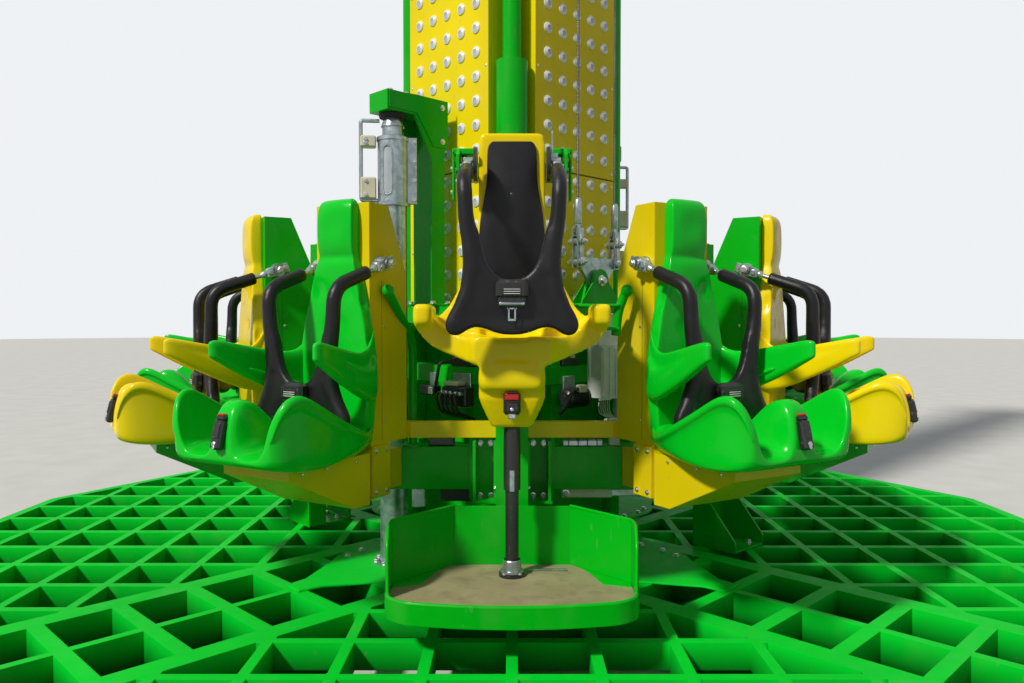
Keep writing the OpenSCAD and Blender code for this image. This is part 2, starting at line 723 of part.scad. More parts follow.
// Square post of a standing place with its ring bracket and shoulder forks
post_r = shell_r - seat_gap - stand_post;
fork_s = arm_s + knuckle_w / 2 + 12;
fork_t = 12;
shell_w = 128;
tray_low = floor_z - 64;
module standing_posts() {
  out = stand_pivot_r + 40;
  plate_low = ring_z - 37;
  color(green) at_each(stand_at) difference() {
    union() {
      box_from([post_r, post_r + stand_post], [-stand_post / 2, stand_post / 2], [tray_low, stand_z + 60]);
      box_from([post_r + 20, shell_r - seat_gap - 10], [-fork_s - fork_t, fork_s + fork_t],
        [stand_z - 25, stand_z + 35]);
      for (s = [0, 1]) mirror([0, s, 0]) {
        translate([0, fork_s + fork_t, 0]) rotate([90, 0, 0]) linear_extrude(fork_t)
          polygon([[post_r + 20, stand_z - 160], [out - 70, stand_z - 60], [out, stand_z - 30],
            [out, stand_z + 30], [out - 40, stand_z + 60], [post_r + 20, stand_z + 60]]);
      }
      box_from([ring_apothem, ring_apothem + 12], [-180, 180], [plate_low, ring_top + 63]);
      for (y = [-160, -75, 63, 148])
        box_from([ring_apothem + 11, post_r + 60], [y, y + 12], [plate_low, ring_top + 40]);
      box_from([ring_apothem + 11, post_r + 60], [-165, 165], [plate_low, plate_low + 12]);
    }
    translate([stand_pivot_r, 0, stand_z]) rotate([90, 0, 0])
      cylinder(h = 4 * fork_s, d = pin_d + pin_play, center = true, $fn = 48);
  }
}

// Round guards beside the shell, each with the hinge pin that its fork holds
disc_t = 14;
module pivot_discs() {
  inner = shell_w + seat_gap + 1;
  color(black) at_each(stand_at) for (s = [0, 1]) mirror([0, s, 0])
    translate([stand_pivot_r, inner, stand_z]) rotate([-90, 0, 0]) {
      cylinder(h = disc_t, d = 130, $fn = 48);
      cylinder(h = fork_s + 18 - inner, d = pin_d, $fn = 48);
    }
}

saddle_z = 1290;
shell_t = 55;
// Rows of the standing shell: share of its height, half width, thickness
shell_rows = [[0, 300, 70], [0.1, 296, 66], [0.19, 250, shell_t], [0.3, 220, shell_t],
  [0.42, 186, shell_t], [0.58, 148, shell_t], [0.76, shell_w, shell_t], [0.97, shell_w - 1, shell_t],
  [1, shell_w - 12, 42]];
module standing_back() {
  loft([for (row = shell_rows) let (z = mix(saddle_z, shell_top, row[0]), w = row[1], t = row[2])
    [[shell_r, -w, z], [shell_r + 0.75 * t, -w, z], [shell_r + t, -w + 14, z], [shell_r + t, w - 14, z],
     [shell_r + 0.75 * t, w, z], [shell_r, w, z]]]);
}
// Rows of the saddle: share of its length, half width, heights of the seat and of the wings
saddle_rows = [[0, 300, -10, 40], [0.22, 330, -20, 80], [0.55, 350, -30, 112], [0.87, 356, -34, 116],
  [0.97, 350, -40, 108], [1, 330, -52, 84]];
module saddle() {
  loft([for (row = saddle_rows) let (x = mix(shell_r, saddle_r, row[0]), w = row[1],
    seat = saddle_z + row[2], wing = saddle_z + row[3],
    half = [[w - 8, wing - 62], [w, wing - 50], [w, wing - 12], [w - 12, wing], [0.8 * w, wing],
      [0.75 * w, mix(wing, seat, 0.4)], [0.66 * w, mix(wing, seat, 0.85)], [0.4 * w, seat + 4], [0, seat]])
    concat([[x, -0.76 * w, saddle_z - 60], [x, -0.34 * w, saddle_z - 122],
      [x, 0.34 * w, saddle_z - 122], [x, 0.76 * w, saddle_z - 60]],
      [for (p = half) [x, p[0], p[1]]],
      [for (i = [len(half) - 2 : -1 : 0]) [x, -half[i][0], half[i][1]]])]);
}
// Nose below the saddle, which carries the lap buckle
nose_w = 247;
nose_low = 945;
module nose() {
  h = nose_w / 2;
  hull() {
    box_from([shell_r + 30, saddle_r - 80], [-h + 20, h - 20], [saddle_z - 90, saddle_z - 74]);
    box_from([shell_r + 20, saddle_r - 45], [-h, h], [saddle_z - 210, saddle_z - 125]);
    box_from([shell_r + 50, saddle_r - 90], [-h + 52, h - 52], [nose_low, nose_low + 10]);
  }
}
// Block at the side of the saddle, and the rib that joins it to the back
module shell_wing() {
  in = 294;
  hull() {
    box_from([shell_r + 60, saddle_r - 30], [in, in + 58], [saddle_z + 40, saddle_z + 108]);
    box_from([shell_r + 90, saddle_r], [in, in + 52], [saddle_z + 50, saddle_z + 100]);
  }
  hull() {
    box_from([shell_r, shell_r + 60], [180, 290], [saddle_z - 60, saddle_z + 60]);
    box_from([shell_r + 60, shell_r + 120], [220, 300], [saddle_z - 40, saddle_z + 30]);
  }
}
module standing_shells() {
  color(yellow) at_each(stand_at) {
    standing_back();
    saddle();
    nose();
    for (s = [0, 1]) mirror([0, s, 0]) shell_wing();
  }
}
// Padded back rest on the shell
module standing_pads() {
  front = shell_r + shell_t + seat_gap;
  back = [for (i = [len(pad_half) - 1 : -1 : 0]) pad_half[i]];
  color(black) at_each(stand_at) translate([front, 0, 0]) rotate([90, 0, 90]) linear_extrude(26)
    polygon([for (s = [1, -1]) for (p = s > 0 ? pad_half : back)
      [s * p[0], mix(saddle_z, shell_top, p[1])]]);
}
pad_half = [[126, 0.2], [124, 0.42], [104, 0.62], [93, 0.72], [93, 0.93], [84, 0.955]];

// Plan of the foot platform, drawn in by the distance o
function tray_half(o) = [[shell_r + 60 + o, 230 - 0.45 * o], [shell_r + 290 + 0.45 * o, floor_w - o],
  [floor_r - 150, floor_w - o], [floor_r - 95 - 0.4 * o, floor_w - 18 - 0.9 * o],
  [floor_r - 55 - 0.8 * o, floor_w - 62 - 0.7 * o], [floor_r - 34 - 0.95 * o, floor_w - 120 - 0.3 * o],
  [floor_r - 8 - o, floor_w - 280], [floor_r - o, 0]];
module tray_plan(o) {
  half = tray_half(o);
  polygon(concat(half, [for (i = [len(half) - 2 : -1 : 0]) [half[i][0], -half[i][1]]]));
}
module foot_platforms() {
  low = tray_low;
  color(green) at_each(stand_at) {
    intersection() {
      translate([0, 0, low]) linear_extrude(floor_z + wall_h - low) difference() {
        tray_plan(0);
        tray_plan(8);
      }
      side_profile([[shell_r, low], [2 * floor_r, low], [2 * floor_r, low + front_rim],
        [floor_r - 120, low + front_rim], [floor_r - 135, floor_z + wall_h - 60],
        [floor_r - 190, floor_z + wall_h], [shell_r, floor_z + wall_h]], 4 * floor_w);
    }
    translate([0, 0, floor_z - 14]) linear_extrude(10) tray_plan(4);
    for (y = [-stand_post / 2, stand_post / 2 - 50])
      box_from([shell_r - seat_gap, floor_r - 120], [y, y + 50], [low, floor_z - 13]);
  }
}
module floor_mats() {
  color("tan") at_each(stand_at) translate([0, 0, floor_z - 4]) linear_extrude(4) tray_plan(10);
}

// Telescopic post from the platform to the saddle's nose
module saddle_posts() {
  color(black) at_each(stand_at) translate([shell_r + 200, 0, floor_z]) {
    cylinder(h = 12, d = saddle_d + 36, $fn = 48);
    cylinder(h = 60, d = saddle_d - 6, $fn = 48);
    cylinder(h = nose_low - floor_z - 200, d = saddle_d - 13, $fn = 48);
    translate([0, 0, nose_low - floor_z - 230]) cylinder(h = 230 - seat_gap, d = saddle_d, $fn = 48);
  }
}

// Grab handles that stand on the ring beside a standing place and bend away from it
module grab_handles() {
  foot = [ring_apothem - 20, 420, ring_z + ring_h];
  knee = foot + [0, 0, 480];
  bow = knee + [0, 36, 55];
  ball = bow + [0, 67, 123];
  side = knee + [0, -90, 40];
  color(green) at_each(stand_at) for (s = [0, 1]) mirror([0, s, 0]) {
    rod(foot, knee, handle_d);
    translate(knee) sphere(d = handle_d + 3, $fn = 32);
    rod(knee, bow, handle_d);
    translate(bow) sphere(d = handle_d + 3, $fn = 32);
    rod(bow, ball, handle_d);
    translate(ball) sphere(d = handle_d + 14, $fn = 32);
    rod(knee, side, handle_d - 6);
    translate(side) sphere(d = handle_d + 8, $fn = 32);
  }
}

base_hub();
base_arms();
base_grid(0);  // base_grid_front
base_grid(90);  // base_grid_right
base_grid(180);  // base_grid_back
base_grid(270);  // base_grid_left
landing_brackets();
mast_core();
guide_rails();
light_panels(315);  // light_panels_front_left
light_panels(45);  // light_panels_front_right
light_panels(135);  // light_panels_back_right
light_panels(225);  // light_panels_back_left
mast_head();
head_sheaves();
cable_returns();
hoist_cables();
buffers();
carriage_side(315);  // carriage_side_front_left
carriage_side(45);  // carriage_side_front_right
carriage_side(135);  // carriage_side_back_right
carriage_side(225);  // carriage_side_back_left
carriage_sleeves();
buffer_posts();
buffer_pads();
hoist_lugs();
hoist_yokes();
ring_beam();
ring_spokes();
yellow_housings();
green_housings();
green_seats();
yellow_seats();
pivot_pins();
pivot_discs();
standing_posts();
standing_shells();
standing_pads();
saddle_posts();
foot_platforms();
floor_mats();
grab_handles();
guard_rails();
control_box();
harness(0, stand_pivot_r, stand_z);  // harness_01
harness(30, pivot_r, pivot_z);  // harness_02
harness(60, pivot_r, pivot_z);  // harness_03
harness(90, pivot_r, pivot_z);  // harness_04
harness(120, pivot_r, pivot_z);  // harness_05
harness(150, pivot_r, pivot_z);  // harness_06
harness(180, stand_pivot_r, stand_z);  // harness_07
harness(210, pivot_r, pivot_z);  // harness_08
harness(240, pivot_r, pivot_z);  // harness_09
harness(270, pivot_r, pivot_z);  // harness_10
harness(300, pivot_r, pivot_z);  // harness_11
harness(330, pivot_r, pivot_z);  // harness_12
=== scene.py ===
"""Looks of the drop tower ride: moulded seats, foam harnesses, light caps, fittings and finishes."""

import math

import bpy
from mathutils import Matrix, Vector


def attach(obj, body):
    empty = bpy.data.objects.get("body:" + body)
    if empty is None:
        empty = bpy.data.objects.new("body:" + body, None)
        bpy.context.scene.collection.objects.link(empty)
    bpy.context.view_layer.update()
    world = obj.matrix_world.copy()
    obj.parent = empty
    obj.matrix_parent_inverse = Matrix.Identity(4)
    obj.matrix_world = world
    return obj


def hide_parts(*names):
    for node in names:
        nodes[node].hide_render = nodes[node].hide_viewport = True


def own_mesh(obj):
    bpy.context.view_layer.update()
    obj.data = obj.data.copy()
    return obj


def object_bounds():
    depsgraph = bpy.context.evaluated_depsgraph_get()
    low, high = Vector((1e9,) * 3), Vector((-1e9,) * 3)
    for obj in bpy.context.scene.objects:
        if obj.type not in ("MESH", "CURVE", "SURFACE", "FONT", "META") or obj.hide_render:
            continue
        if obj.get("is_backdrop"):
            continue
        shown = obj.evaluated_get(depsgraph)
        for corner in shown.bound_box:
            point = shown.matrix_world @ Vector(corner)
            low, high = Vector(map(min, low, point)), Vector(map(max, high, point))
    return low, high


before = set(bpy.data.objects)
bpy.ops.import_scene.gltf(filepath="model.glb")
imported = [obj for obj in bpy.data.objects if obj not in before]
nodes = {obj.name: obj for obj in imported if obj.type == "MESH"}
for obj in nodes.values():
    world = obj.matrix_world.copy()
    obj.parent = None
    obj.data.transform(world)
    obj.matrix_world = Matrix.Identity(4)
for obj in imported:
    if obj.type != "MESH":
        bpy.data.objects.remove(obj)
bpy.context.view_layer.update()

# Places round the mast in degrees, and sizes of the frame in metres, the same as in the part's source
GREEN_AT = [30, 90, 150, 210, 270, 330]
YELLOW_AT = [60, 120, 240, 300]
STAND_AT = [0, 180]
FACES_AT = [45, 135, 225, 315]
HOIST_AT = [45, 225]
MAST_HALF, MAST_FOOT, BAY_H, BAYS = 0.452, 0.22, 1.85, 5
PANEL_HALF, PANEL_LOW = 0.296, 1.33
HOUSING_HALF, BACK_R, PAN_LOW = 0.135, 1.3303, 0.845
PIVOT_R, PIVOT_Z, STAND_Z = 1.28, 1.565, 1.93
ARM_S, ARM_REACH, ARM_DROP = 0.165, 0.28, 0.10
SHELL_R, SADDLE_POST_R, BUFFER_R = 1.13, 1.33, 0.785
CABLE_R, CABLE_S, CABLE_LOW, CABLE_TOP, LUG_Z = 0.58, 0.14, 1.915, 9.70, 1.535


# Materials
class Nodes:
    """A node tree that is built node by node."""

    def __init__(self, tree):
        self.tree = tree

    def node(self, kind, inputs=None, **settings):
        """A new node with its settings, and its inputs set to values or linked to outputs."""
        made = self.tree.nodes.new("ShaderNode" + kind)
        for key, value in settings.items():
            setattr(made, key, value)
        for key, value in (inputs or {}).items():
            if isinstance(value, bpy.types.NodeSocket):
                self.tree.links.new(value, made.inputs[key])
            else:
                made.inputs[key].default_value = value
        return made


class Look(Nodes):
    """A material with its shader and the object coordinates."""

    def __init__(self, name, metal=0.0, coat=0.0, coat_rough=0.1, sheen=0.0, specular=0.5):
        self.material = bpy.data.materials.new(name)
        self.material.use_nodes = True
        super().__init__(self.material.node_tree)
        self.shader = self.tree.nodes["Principled BSDF"]
        for key, number in (("Metallic", metal), ("Coat Weight", coat), ("Coat Roughness", coat_rough),
                            ("Sheen Weight", sheen), ("Specular IOR Level", specular)):
            self.shader.inputs[key].default_value = number
        self.place = self.node("TexCoord").outputs["Object"]

    def noise(self, scale, detail, stretch=None):
        """The value of a noise texture, stretched along an axis where asked."""
        place = self.place
        if stretch:
            place = self.node("Mapping", {"Scale": stretch, "Vector": place}).outputs["Vector"]
        return self.node("TexNoise", {"Scale": scale, "Detail": detail, "Vector": place}).outputs["Fac"]

    def ramp(self, value, *stops):
        """Two colours over a value."""
        made = self.node("ValToRGB", {"Fac": value})
        for element, (at, colour) in zip(made.color_ramp.elements, stops):
            element.position, element.color = at, (*colour, 1)
        return made.outputs["Color"]

    def spread(self, value, low, high, start=0.3, end=0.7):
        """A value from start to end stretched to low to high."""
        limits = {"From Min": start, "From Max": end, "To Min": low, "To Max": high}
        return self.node("MapRange", {"Value": value, **limits}).outputs["Result"]

    def mixed(self, factor, under, upper):
        """A colour laid over another one by a factor."""
        return self.node("Mix", {"Factor": factor, "A": under, "B": upper},
                         data_type="RGBA").outputs["Result"]

    def mottled(self, colour, dark, light, scale, detail):
        """A colour that wanders between a darker and a lighter share of itself."""
        return self.ramp(self.noise(scale, detail), (0.3, tint(colour, dark)), (0.7, tint(colour, light)))

    def patched(self, base, colour, low, high, scale, detail, stretch=None):
        """Patches of a colour over another one, covering it by low to high."""
        return self.mixed(self.spread(self.noise(scale, detail, stretch), low, high), base, (*colour, 1))

    def join(self, value, key):
        self.tree.links.new(value, self.shader.inputs[key])

    def finish(self, base, rough, scale, detail, relief):
        """Joins the colour, a roughness that wanders between two values, and the relief."""
        self.join(base, "Base Color")
        self.join(self.spread(self.noise(scale, detail), *rough), "Roughness")
        self.join(self.node("Bump", relief).outputs["Normal"], "Normal")
        return self.material


def tint(colour, share):
    return tuple(min(1.0, c * share) for c in colour)


def paint(name, colour, rough=(0.24, 0.4), coat=0.1, wear=0.08, specular=0.14, painted_shade_heights=None):
    """Sprayed enamel with orange peel, faded patches, dust, a few scuffs and softened edges; where two
    heights are given, painted shade darkens it from the upper height down to the lower one."""
    look = Look(name, coat=coat, coat_rough=0.12, specular=specular)
    dust = (0.35, 0.34, 0.24)
    base = look.patched(look.mottled(colour, 0.86, 1.06, 1.7, 5), dust, -0.1, wear, 6, 9, (1, 1, 0.45))
    base = look.patched(base, tint(dust, 0.7), -2.8, 0.22, 55, 6, (1, 1, 0.3))
    # Painted shade: below the upper height the colour darkens towards a near-black share of itself, standing
    # in for shade
    if painted_shade_heights:
        height = look.node("SeparateXYZ", {"Vector": look.place}).outputs["Z"]
        base = look.mixed(look.spread(height, 0.0, 0.9, *painted_shade_heights), base, (*tint(colour, 0.07), 1))
    edges = look.node("Bevel", {"Radius": 0.004}, samples=4).outputs["Normal"]
    relief = {"Height": look.noise(170, 2), "Strength": 0.12, "Distance": 0.0006, "Normal": edges}
    return look.finish(base, rough, 14, 6, relief)


def gelcoat(name, colour, shade):
    """Glossy moulded plastic with a deep coat, faint waves and fine scratches."""
    look = Look(name, coat=0.16, coat_rough=0.08, specular=0.16)
    base = look.patched(look.mottled(colour, 0.9, 1.05, 2.4, 4), shade, -1.0, 0.10, 34, 8, (1, 1, 0.4))
    relief = {"Height": look.noise(26, 2), "Strength": 0.08, "Distance": 0.0012}
    return look.finish(base, (0.16, 0.3), 22, 5, relief)


def foam(name, colour, grain=620, rough=(0.42, 0.6)):
    """Integral skin foam or rubber with a leathery grain and rubbed places."""
    look = Look(name, sheen=0.03, specular=0.36)
    base = look.patched(look.mottled(colour, 0.75, 1.35, 5, 6), (0.021, 0.019, 0.023), -0.5, 0.22, 19, 7)
    cells = look.node("TexVoronoi", {"Scale": grain, "Vector": look.place})
    relief = {"Height": cells.outputs["Distance"], "Strength": 0.3, "Distance": 0.0007}
    return look.finish(base, rough, 12, 5, relief)


def zinc(name, colour=(0.43, 0.49, 0.52), spangle=46, rough=(0.26, 0.42)):
    """Hot dip galvanised steel with spangles and white bloom."""
    look = Look(name, metal=0.85)
    cells = look.node("TexVoronoi", {"Scale": spangle, "Vector": look.place})
    split = look.node("SeparateColor", {"Color": cells.outputs["Color"]}).outputs
    base = look.ramp(split["Red"], (0.0, tint(colour, 0.8)), (1.0, tint(colour, 1.2)))
    base = look.patched(base, (0.52, 0.55, 0.56), -0.4, 0.2, 9, 8, (1, 1, 0.35))
    return look.finish(base, rough, 30, 5, {"Height": split["Green"], "Strength": 0.08, "Distance": 0.0005})


def rope(name):
    """Twisted strands of steel wire, wound up the rope."""
    look = Look(name, metal=0.8)
    wave = look.node("TexWave", {"Scale": 62, "Distortion": 0.6, "Vector": look.place},
                     wave_type="BANDS", bands_direction="DIAGONAL").outputs["Fac"]
    base = look.ramp(wave, (0.0, (0.05, 0.05, 0.05)), (0.6, (0.32, 0.32, 0.31)))
    base = look.patched(base, (0.07, 0.065, 0.055), -0.2, 0.5, 8, 6)
    return look.finish(base, (0.35, 0.6), 40, 4, {"Height": wave, "Strength": 0.7, "Distance": 0.0015})


def grit(name, colour):
    """Sanded anti-slip coat with trodden and dirty patches."""
    look = Look(name, specular=0.25)
    grains = look.noise(420, 2)
    sand = look.ramp(grains, (0.35, tint(colour, 0.55)), (0.6, tint(colour, 1.15)))
    base = look.mixed(0.35, look.mottled(colour, 0.75, 1.1, 7, 8), sand)
    base = look.patched(base, (0.16, 0.13, 0.09), -0.4, 0.4, 15, 9)
    return look.finish(base, (0.7, 0.95), 60, 4, {"Height": grains, "Strength": 0.6, "Distance": 0.0012})


def moulded(name, colour, rough=(0.3, 0.45), coat=0.2, wear=(0.3, 0.3, 0.3)):
    """Small moulded or powder coated part with a fine grain."""
    look = Look(name, coat=coat, coat_rough=0.15)
    base = look.patched(look.mottled(colour, 0.88, 1.06, 18, 5), wear, -0.7, 0.2, 60, 7)
    relief = {"Height": look.noise(700, 2), "Strength": 0.12, "Distance": 0.0003}
    return look.finish(base, rough, 45, 4, relief)


green_paint = paint("green_paint", (0.001, 0.46, 0.010))
# The base paint gets painted shade, darker from z 0.19 down to z 0.085, standing in for the shade deep inside
# the lattice
base_paint = paint("base_paint", (0.001, 0.66, 0.030), rough=(0.42, 0.6), coat=0.0, wear=0.05,
                   specular=0.08,
                   painted_shade_heights=(0.19, 0.085))
yellow_paint = paint("yellow_paint", (0.82, 0.62, 0.003))
panel_paint = paint("panel_yellow", (0.92, 0.72, 0.003), rough=(0.32, 0.46), wear=0.06)
green_shell = gelcoat("green_plastic", (0.001, 0.60, 0.020), (0.06, 0.5, 0.08))
yellow_shell = gelcoat("yellow_plastic", (0.94, 0.70, 0.002), (0.8, 0.64, 0.12))
pad_skin = foam("black_pad", (0.0065, 0.0056, 0.0078), rough=(0.3, 0.46))
rubber = foam("black_rubber", (0.012, 0.012, 0.012), grain=260, rough=(0.55, 0.75))
black_metal = moulded("black_metal", (0.02, 0.02, 0.021), wear=(0.16, 0.16, 0.16))
galvanised = zinc("galvanised")
bolt_zinc = zinc("bolt_zinc", (0.6, 0.61, 0.62), spangle=200, rough=(0.22, 0.4))
wire_rope = rope("wire_rope")
tan_grit = grit("tan_floor", (0.36, 0.31, 0.17))
grey_box = moulded("grey_box", (0.78, 0.78, 0.76), wear=(0.6, 0.6, 0.58))
cream = moulded("cream_block", (0.7, 0.66, 0.5), wear=(0.45, 0.42, 0.33))
lens = moulded("lamp_cap", (0.82, 0.83, 0.83), rough=(0.1, 0.2), coat=0.7, wear=(0.7, 0.7, 0.66))
lens_core = moulded("lamp_core", (0.46, 0.49, 0.55), rough=(0.2, 0.3), coat=0.6)
black_moulding = moulded("black_moulding", (0.014, 0.014, 0.015), rough=(0.35, 0.5))
red_button = moulded("red_button", (0.5, 0.012, 0.01), wear=(0.3, 0.05, 0.04))
white_pipe = moulded("white_pipe", (0.72, 0.73, 0.72), wear=(0.5, 0.5, 0.48))


# Places and turns
def shift(x, y, z):
    return Matrix.Translation((x, y, z))


def place_at(angle, out=0.0, across=0.0, up=0.0):
    """From local (out, across, up) at a position round the mast to the row frame."""
    a = math.radians(angle)
    turn = Matrix(((math.sin(a), math.cos(a), 0, 0), (-math.cos(a), math.sin(a), 0, 0), (0, 0, 1, 0),
                   (0, 0, 0, 1)))
    return turn @ shift(out, across, up)


def facing_out(out=0.0, way=1):
    """Stands an outline up with its X across, its Y up and its depth outwards, or inwards where way is -1."""
    return Matrix(((0, 0, way, out), (1, 0, 0, 0), (0, 1, 0, 0), (0, 0, 0, 1)))


def facing_side(across):
    """Stands an outline up with its X outwards, its Y up and its depth sideways."""
    return Matrix(((1, 0, 0, 0), (0, 0, -1, across), (0, 1, 0, 0), (0, 0, 0, 1)))


SAME = Matrix.Identity(4)
MIRROR = Matrix.Diagonal((1, -1, 1, 1))
ALONG_X = Matrix.Rotation(math.pi / 2, 4, "Y")
ALONG_Y = Matrix.Rotation(-math.pi / 2, 4, "X")
# Turns from +Z to the two ways outwards and to the two ways sideways
OUTWARDS = {1: ALONG_X, -1: ALONG_X.inverted()}
SIDEWAYS = {-1: ALONG_Y.inverted(), 1: ALONG_Y}


# Shapes
class Shape:
    """Points and faces of a piece, each face with the index of its finish."""

    def __init__(self):
        self.points, self.faces, self.slots = [], [], []

    def add(self, other, matrix=SAME, slot=None):
        """Takes in another shape, turned over where the matrix mirrors."""
        base = len(self.points)
        self.points += [matrix @ p for p in other.points]
        flip = matrix.to_3x3().determinant() < 0
        for face, own in zip(other.faces, other.slots):
            loop = [base + i for i in face]
            self.faces.append(loop[::-1] if flip else loop)
            self.slots.append(own if slot is None else slot)
        return self

    def add_blocks(self, at, rows):
        """Takes in chamfered boxes, each given by its size, centre, chamfer and finish."""
        for size, centre, chamfer, slot in rows:
            self.add(block(size, centre, chamfer), at, slot)

    def add_bolts(self, size, at, spots, turn=SAME, slot=None):
        """Takes in hexagon bolts of one thread size at several spots."""
        for spot in spots:
            self.add(hex_bolt(size), at @ shift(*spot) @ turn, slot)

    def face(self, loop):
        self.faces.append(list(loop))
        self.slots.append(0)

    def mesh(self, name, crease=None):
        mesh = bpy.data.meshes.new(name)
        mesh.from_pydata([tuple(p) for p in self.points], [], self.faces)
        mesh.polygons.foreach_set("material_index", self.slots)
        mesh.polygons.foreach_set("use_smooth", [True] * len(self.faces))
        mesh.validate()
        if crease is not None:
            mesh.set_sharp_from_angle(angle=math.radians(crease))
        return mesh


def circle(radius, sides):
    return [(radius * math.cos(k * math.tau / sides),
             radius * math.sin(k * math.tau / sides)) for k in range(sides)]


def lathe(profile, sides=24):
    """Turned about +Z from (radius, height) points; radius 0 closes an end."""
    made = Shape()
    rings = []
    for radius, height in profile:
        ring = circle(radius, sides) if radius else [(0, 0)]
        rings.append(list(range(len(made.points), len(made.points) + len(ring))))
        made.points += [Vector((x, y, height)) for x, y in ring]
    for low, high in zip(rings, rings[1:]):
        for k in range(sides):
            n = (k + 1) % sides
            if len(low) == 1:
                made.face([low[0], high[n], high[k]])
            elif len(high) == 1:
                made.face([low[k], low[n], high[0]])
            else:
                made.face([low[k], low[n], high[n], high[k]])
    return made


def strips(rows, ends=False):
    """Quads between rows of equally many points, each row a closed loop, with closed ends where asked."""
    made = Shape()
    count = len(rows[0])
    made.points = [Vector(p) for row in rows for p in row]
    for j in range(len(rows) - 1):
        for i in range(count):
            a, b = j * count + i, j * count + (i + 1) % count
            made.face([a, b, b + count, a + count])
    if ends:
        made.face(range(count - 1, -1, -1))
        made.face(range(len(made.points) - count, len(made.points)))
    return made


def shell(rows):
    """A closed skin from rows (upper points, lower points), with quads across both ends."""
    made = strips([list(top) + list(low)[::-1] for top, low in rows])
    n = len(rows[0][0])
    last = (len(rows) - 1) * 2 * n
    for i in range(n - 1):
        made.face([i, 2 * n - 1 - i, 2 * n - 2 - i, i + 1])
        made.face([last + i + 1, last + 2 * n - 2 - i, last + 2 * n - 1 - i, last + i])
    return made


def block(size, at=(0, 0, 0), chamfer=0.004):
    """A box with chamfered edges, centred on a point."""
    x, y, z = (s / 2 for s in size)
    r = min(chamfer, x * 0.9, y * 0.9, z * 0.9)
    ring = [(x - r, -y), (x, -y + r), (x, y - r), (x - r, y), (-x + r, y), (-x, y - r), (-x, -y + r),
            (-x + r, -y)]
    inner = [(px * (x - r) / x, py * (y - r) / y) for px, py in ring]
    levels = ((-z, inner), (-z + r, ring), (z - r, ring), (z, inner))
    made = strips([[(px, py, h) for px, py in outline] for h, outline in levels], True)
    made.points = [p + Vector(at) for p in made.points]
    return made


def prism(outline, low, high, chamfer=0.0):
    """An outline, counter-clockwise in X and Y, raised along Z."""
    rows = [[(x, y, low) for x, y in outline], [(x, y, high - chamfer) for x, y in outline]]
    if chamfer:
        cx, cy = (sum(p[i] for p in outline) / len(outline) for i in (0, 1))
        rows.append([])
        for x, y in outline:
            reach = max(1e-6, math.hypot(cx - x, cy - y))
            rows[-1].append((x + (cx - x) * chamfer / reach, y + (cy - y) * chamfer / reach, high))
    return strips(rows, True)


def tube(path, radii, sides=16):
    """A round skin along points, with one radius or one for each point, its ends closed."""
    path = [Vector(p) for p in path]
    radii = radii if isinstance(radii, list) else [radii] * len(path)
    rows = []
    side = None
    for i, (p, radius) in enumerate(zip(path, radii)):
        ahead = (path[min(i + 1, len(path) - 1)] - path[max(i - 1, 0)]).normalized()
        if side is None:
            side = ahead.orthogonal().normalized()
        side = (side - ahead * side.dot(ahead)).normalized()
        up = ahead.cross(side)
        rows.append([
            p + radius * (math.cos(k * math.tau / sides) * side + math.sin(k * math.tau / sides) * up)
            for k in range(sides)
        ])
    return strips(rows, True)


def bend(points, radius, steps):
    """A path with its corners rounded."""
    points = [Vector(p) for p in points]
    made = [points[0]]
    for before, corner, after in zip(points, points[1:], points[2:]):
        back, on = before - corner, after - corner
        reach = min(radius, back.length * 0.48, on.length * 0.48)
        a, b = corner + back.normalized() * reach, corner + on.normalized() * reach
        for k in range(steps + 1):
            t = k / steps
            made.append(a * (1 - t) ** 2 + corner * 2 * t * (1 - t) + b * t * t)
    return made + [points[-1]]


def hex_bolt(size):
    """A hexagon head or nut on a washer, standing on z 0 along +Z; size is the thread."""
    top = size * 0.16
    made = lathe([(size * 1.15, 0), (size * 1.15, top * 0.8), (size * 1.08, top), (0, top)], 16)
    head = strips([[(*p, z) for p in circle(size * 0.86 * share, 6)]
                   for share, z in ((1, top), (1, top + size * 0.65 * 0.82), (0.86, top + size * 0.65))])
    head.face(range(12, 18))
    return made.add(head)


def screw(radius):
    """A low domed screw head, standing on z 0 along +Z."""
    profile = [(1, 0), (0.93, 0.3), (0.6, 0.5), (0.22, 0.5), (0.15, 0.25), (0, 0.25)]
    return lathe([(radius * r, radius * z) for r, z in profile], 12)


def curved(radius, half_angle, low, high, steps=6):
    """A patch of a cylinder's skin about +X."""
    made = Shape()
    for z in (low, high):
        for k in range(steps + 1):
            a = half_angle * (2 * k / steps - 1)
            made.points.append(Vector((radius * math.cos(a), radius * math.sin(a), z)))
    for k in range(steps):
        made.face([k, k + 1, k + steps + 2, k + steps + 1])
    return made


def mix(a, b, t):
    return a + (b - a) * t


def piece(name, shape, body, finishes, crease=35, stands_for=None):
    """A shape as an object that rides on a body."""
    obj = bpy.data.objects.new(name, shape.mesh(name, crease))
    bpy.context.scene.collection.objects.link(obj)
    for finish in finishes if isinstance(finishes, list) else [finishes]:
        obj.data.materials.append(finish)
    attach(obj, body)
    if stands_for:
        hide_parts(stands_for)
    return obj


def modified(shape, **modifiers):
    """A shape's points and faces after modifiers, each a kind with its settings, as a Shape."""
    obj = bpy.data.objects.new("scratch", shape.mesh("scratch"))
    bpy.context.scene.collection.objects.link(obj)
    for kind, settings in modifiers.items():
        modifier = obj.modifiers.new(kind, kind)
        for key, value in settings.items():
            setattr(modifier, key, value)
    fine = obj.evaluated_get(bpy.context.evaluated_depsgraph_get()).to_mesh()
    made = Shape()
    made.points = [v.co.copy() for v in fine.vertices]
    made.faces = [list(p.vertices) for p in fine.polygons]
    made.slots = [0] * len(made.faces)
    mesh = obj.data
    bpy.data.objects.remove(obj)
    bpy.data.meshes.remove(mesh)
    return made


def subdivided(shape, levels):
    return modified(shape, SUBSURF={"levels": levels})


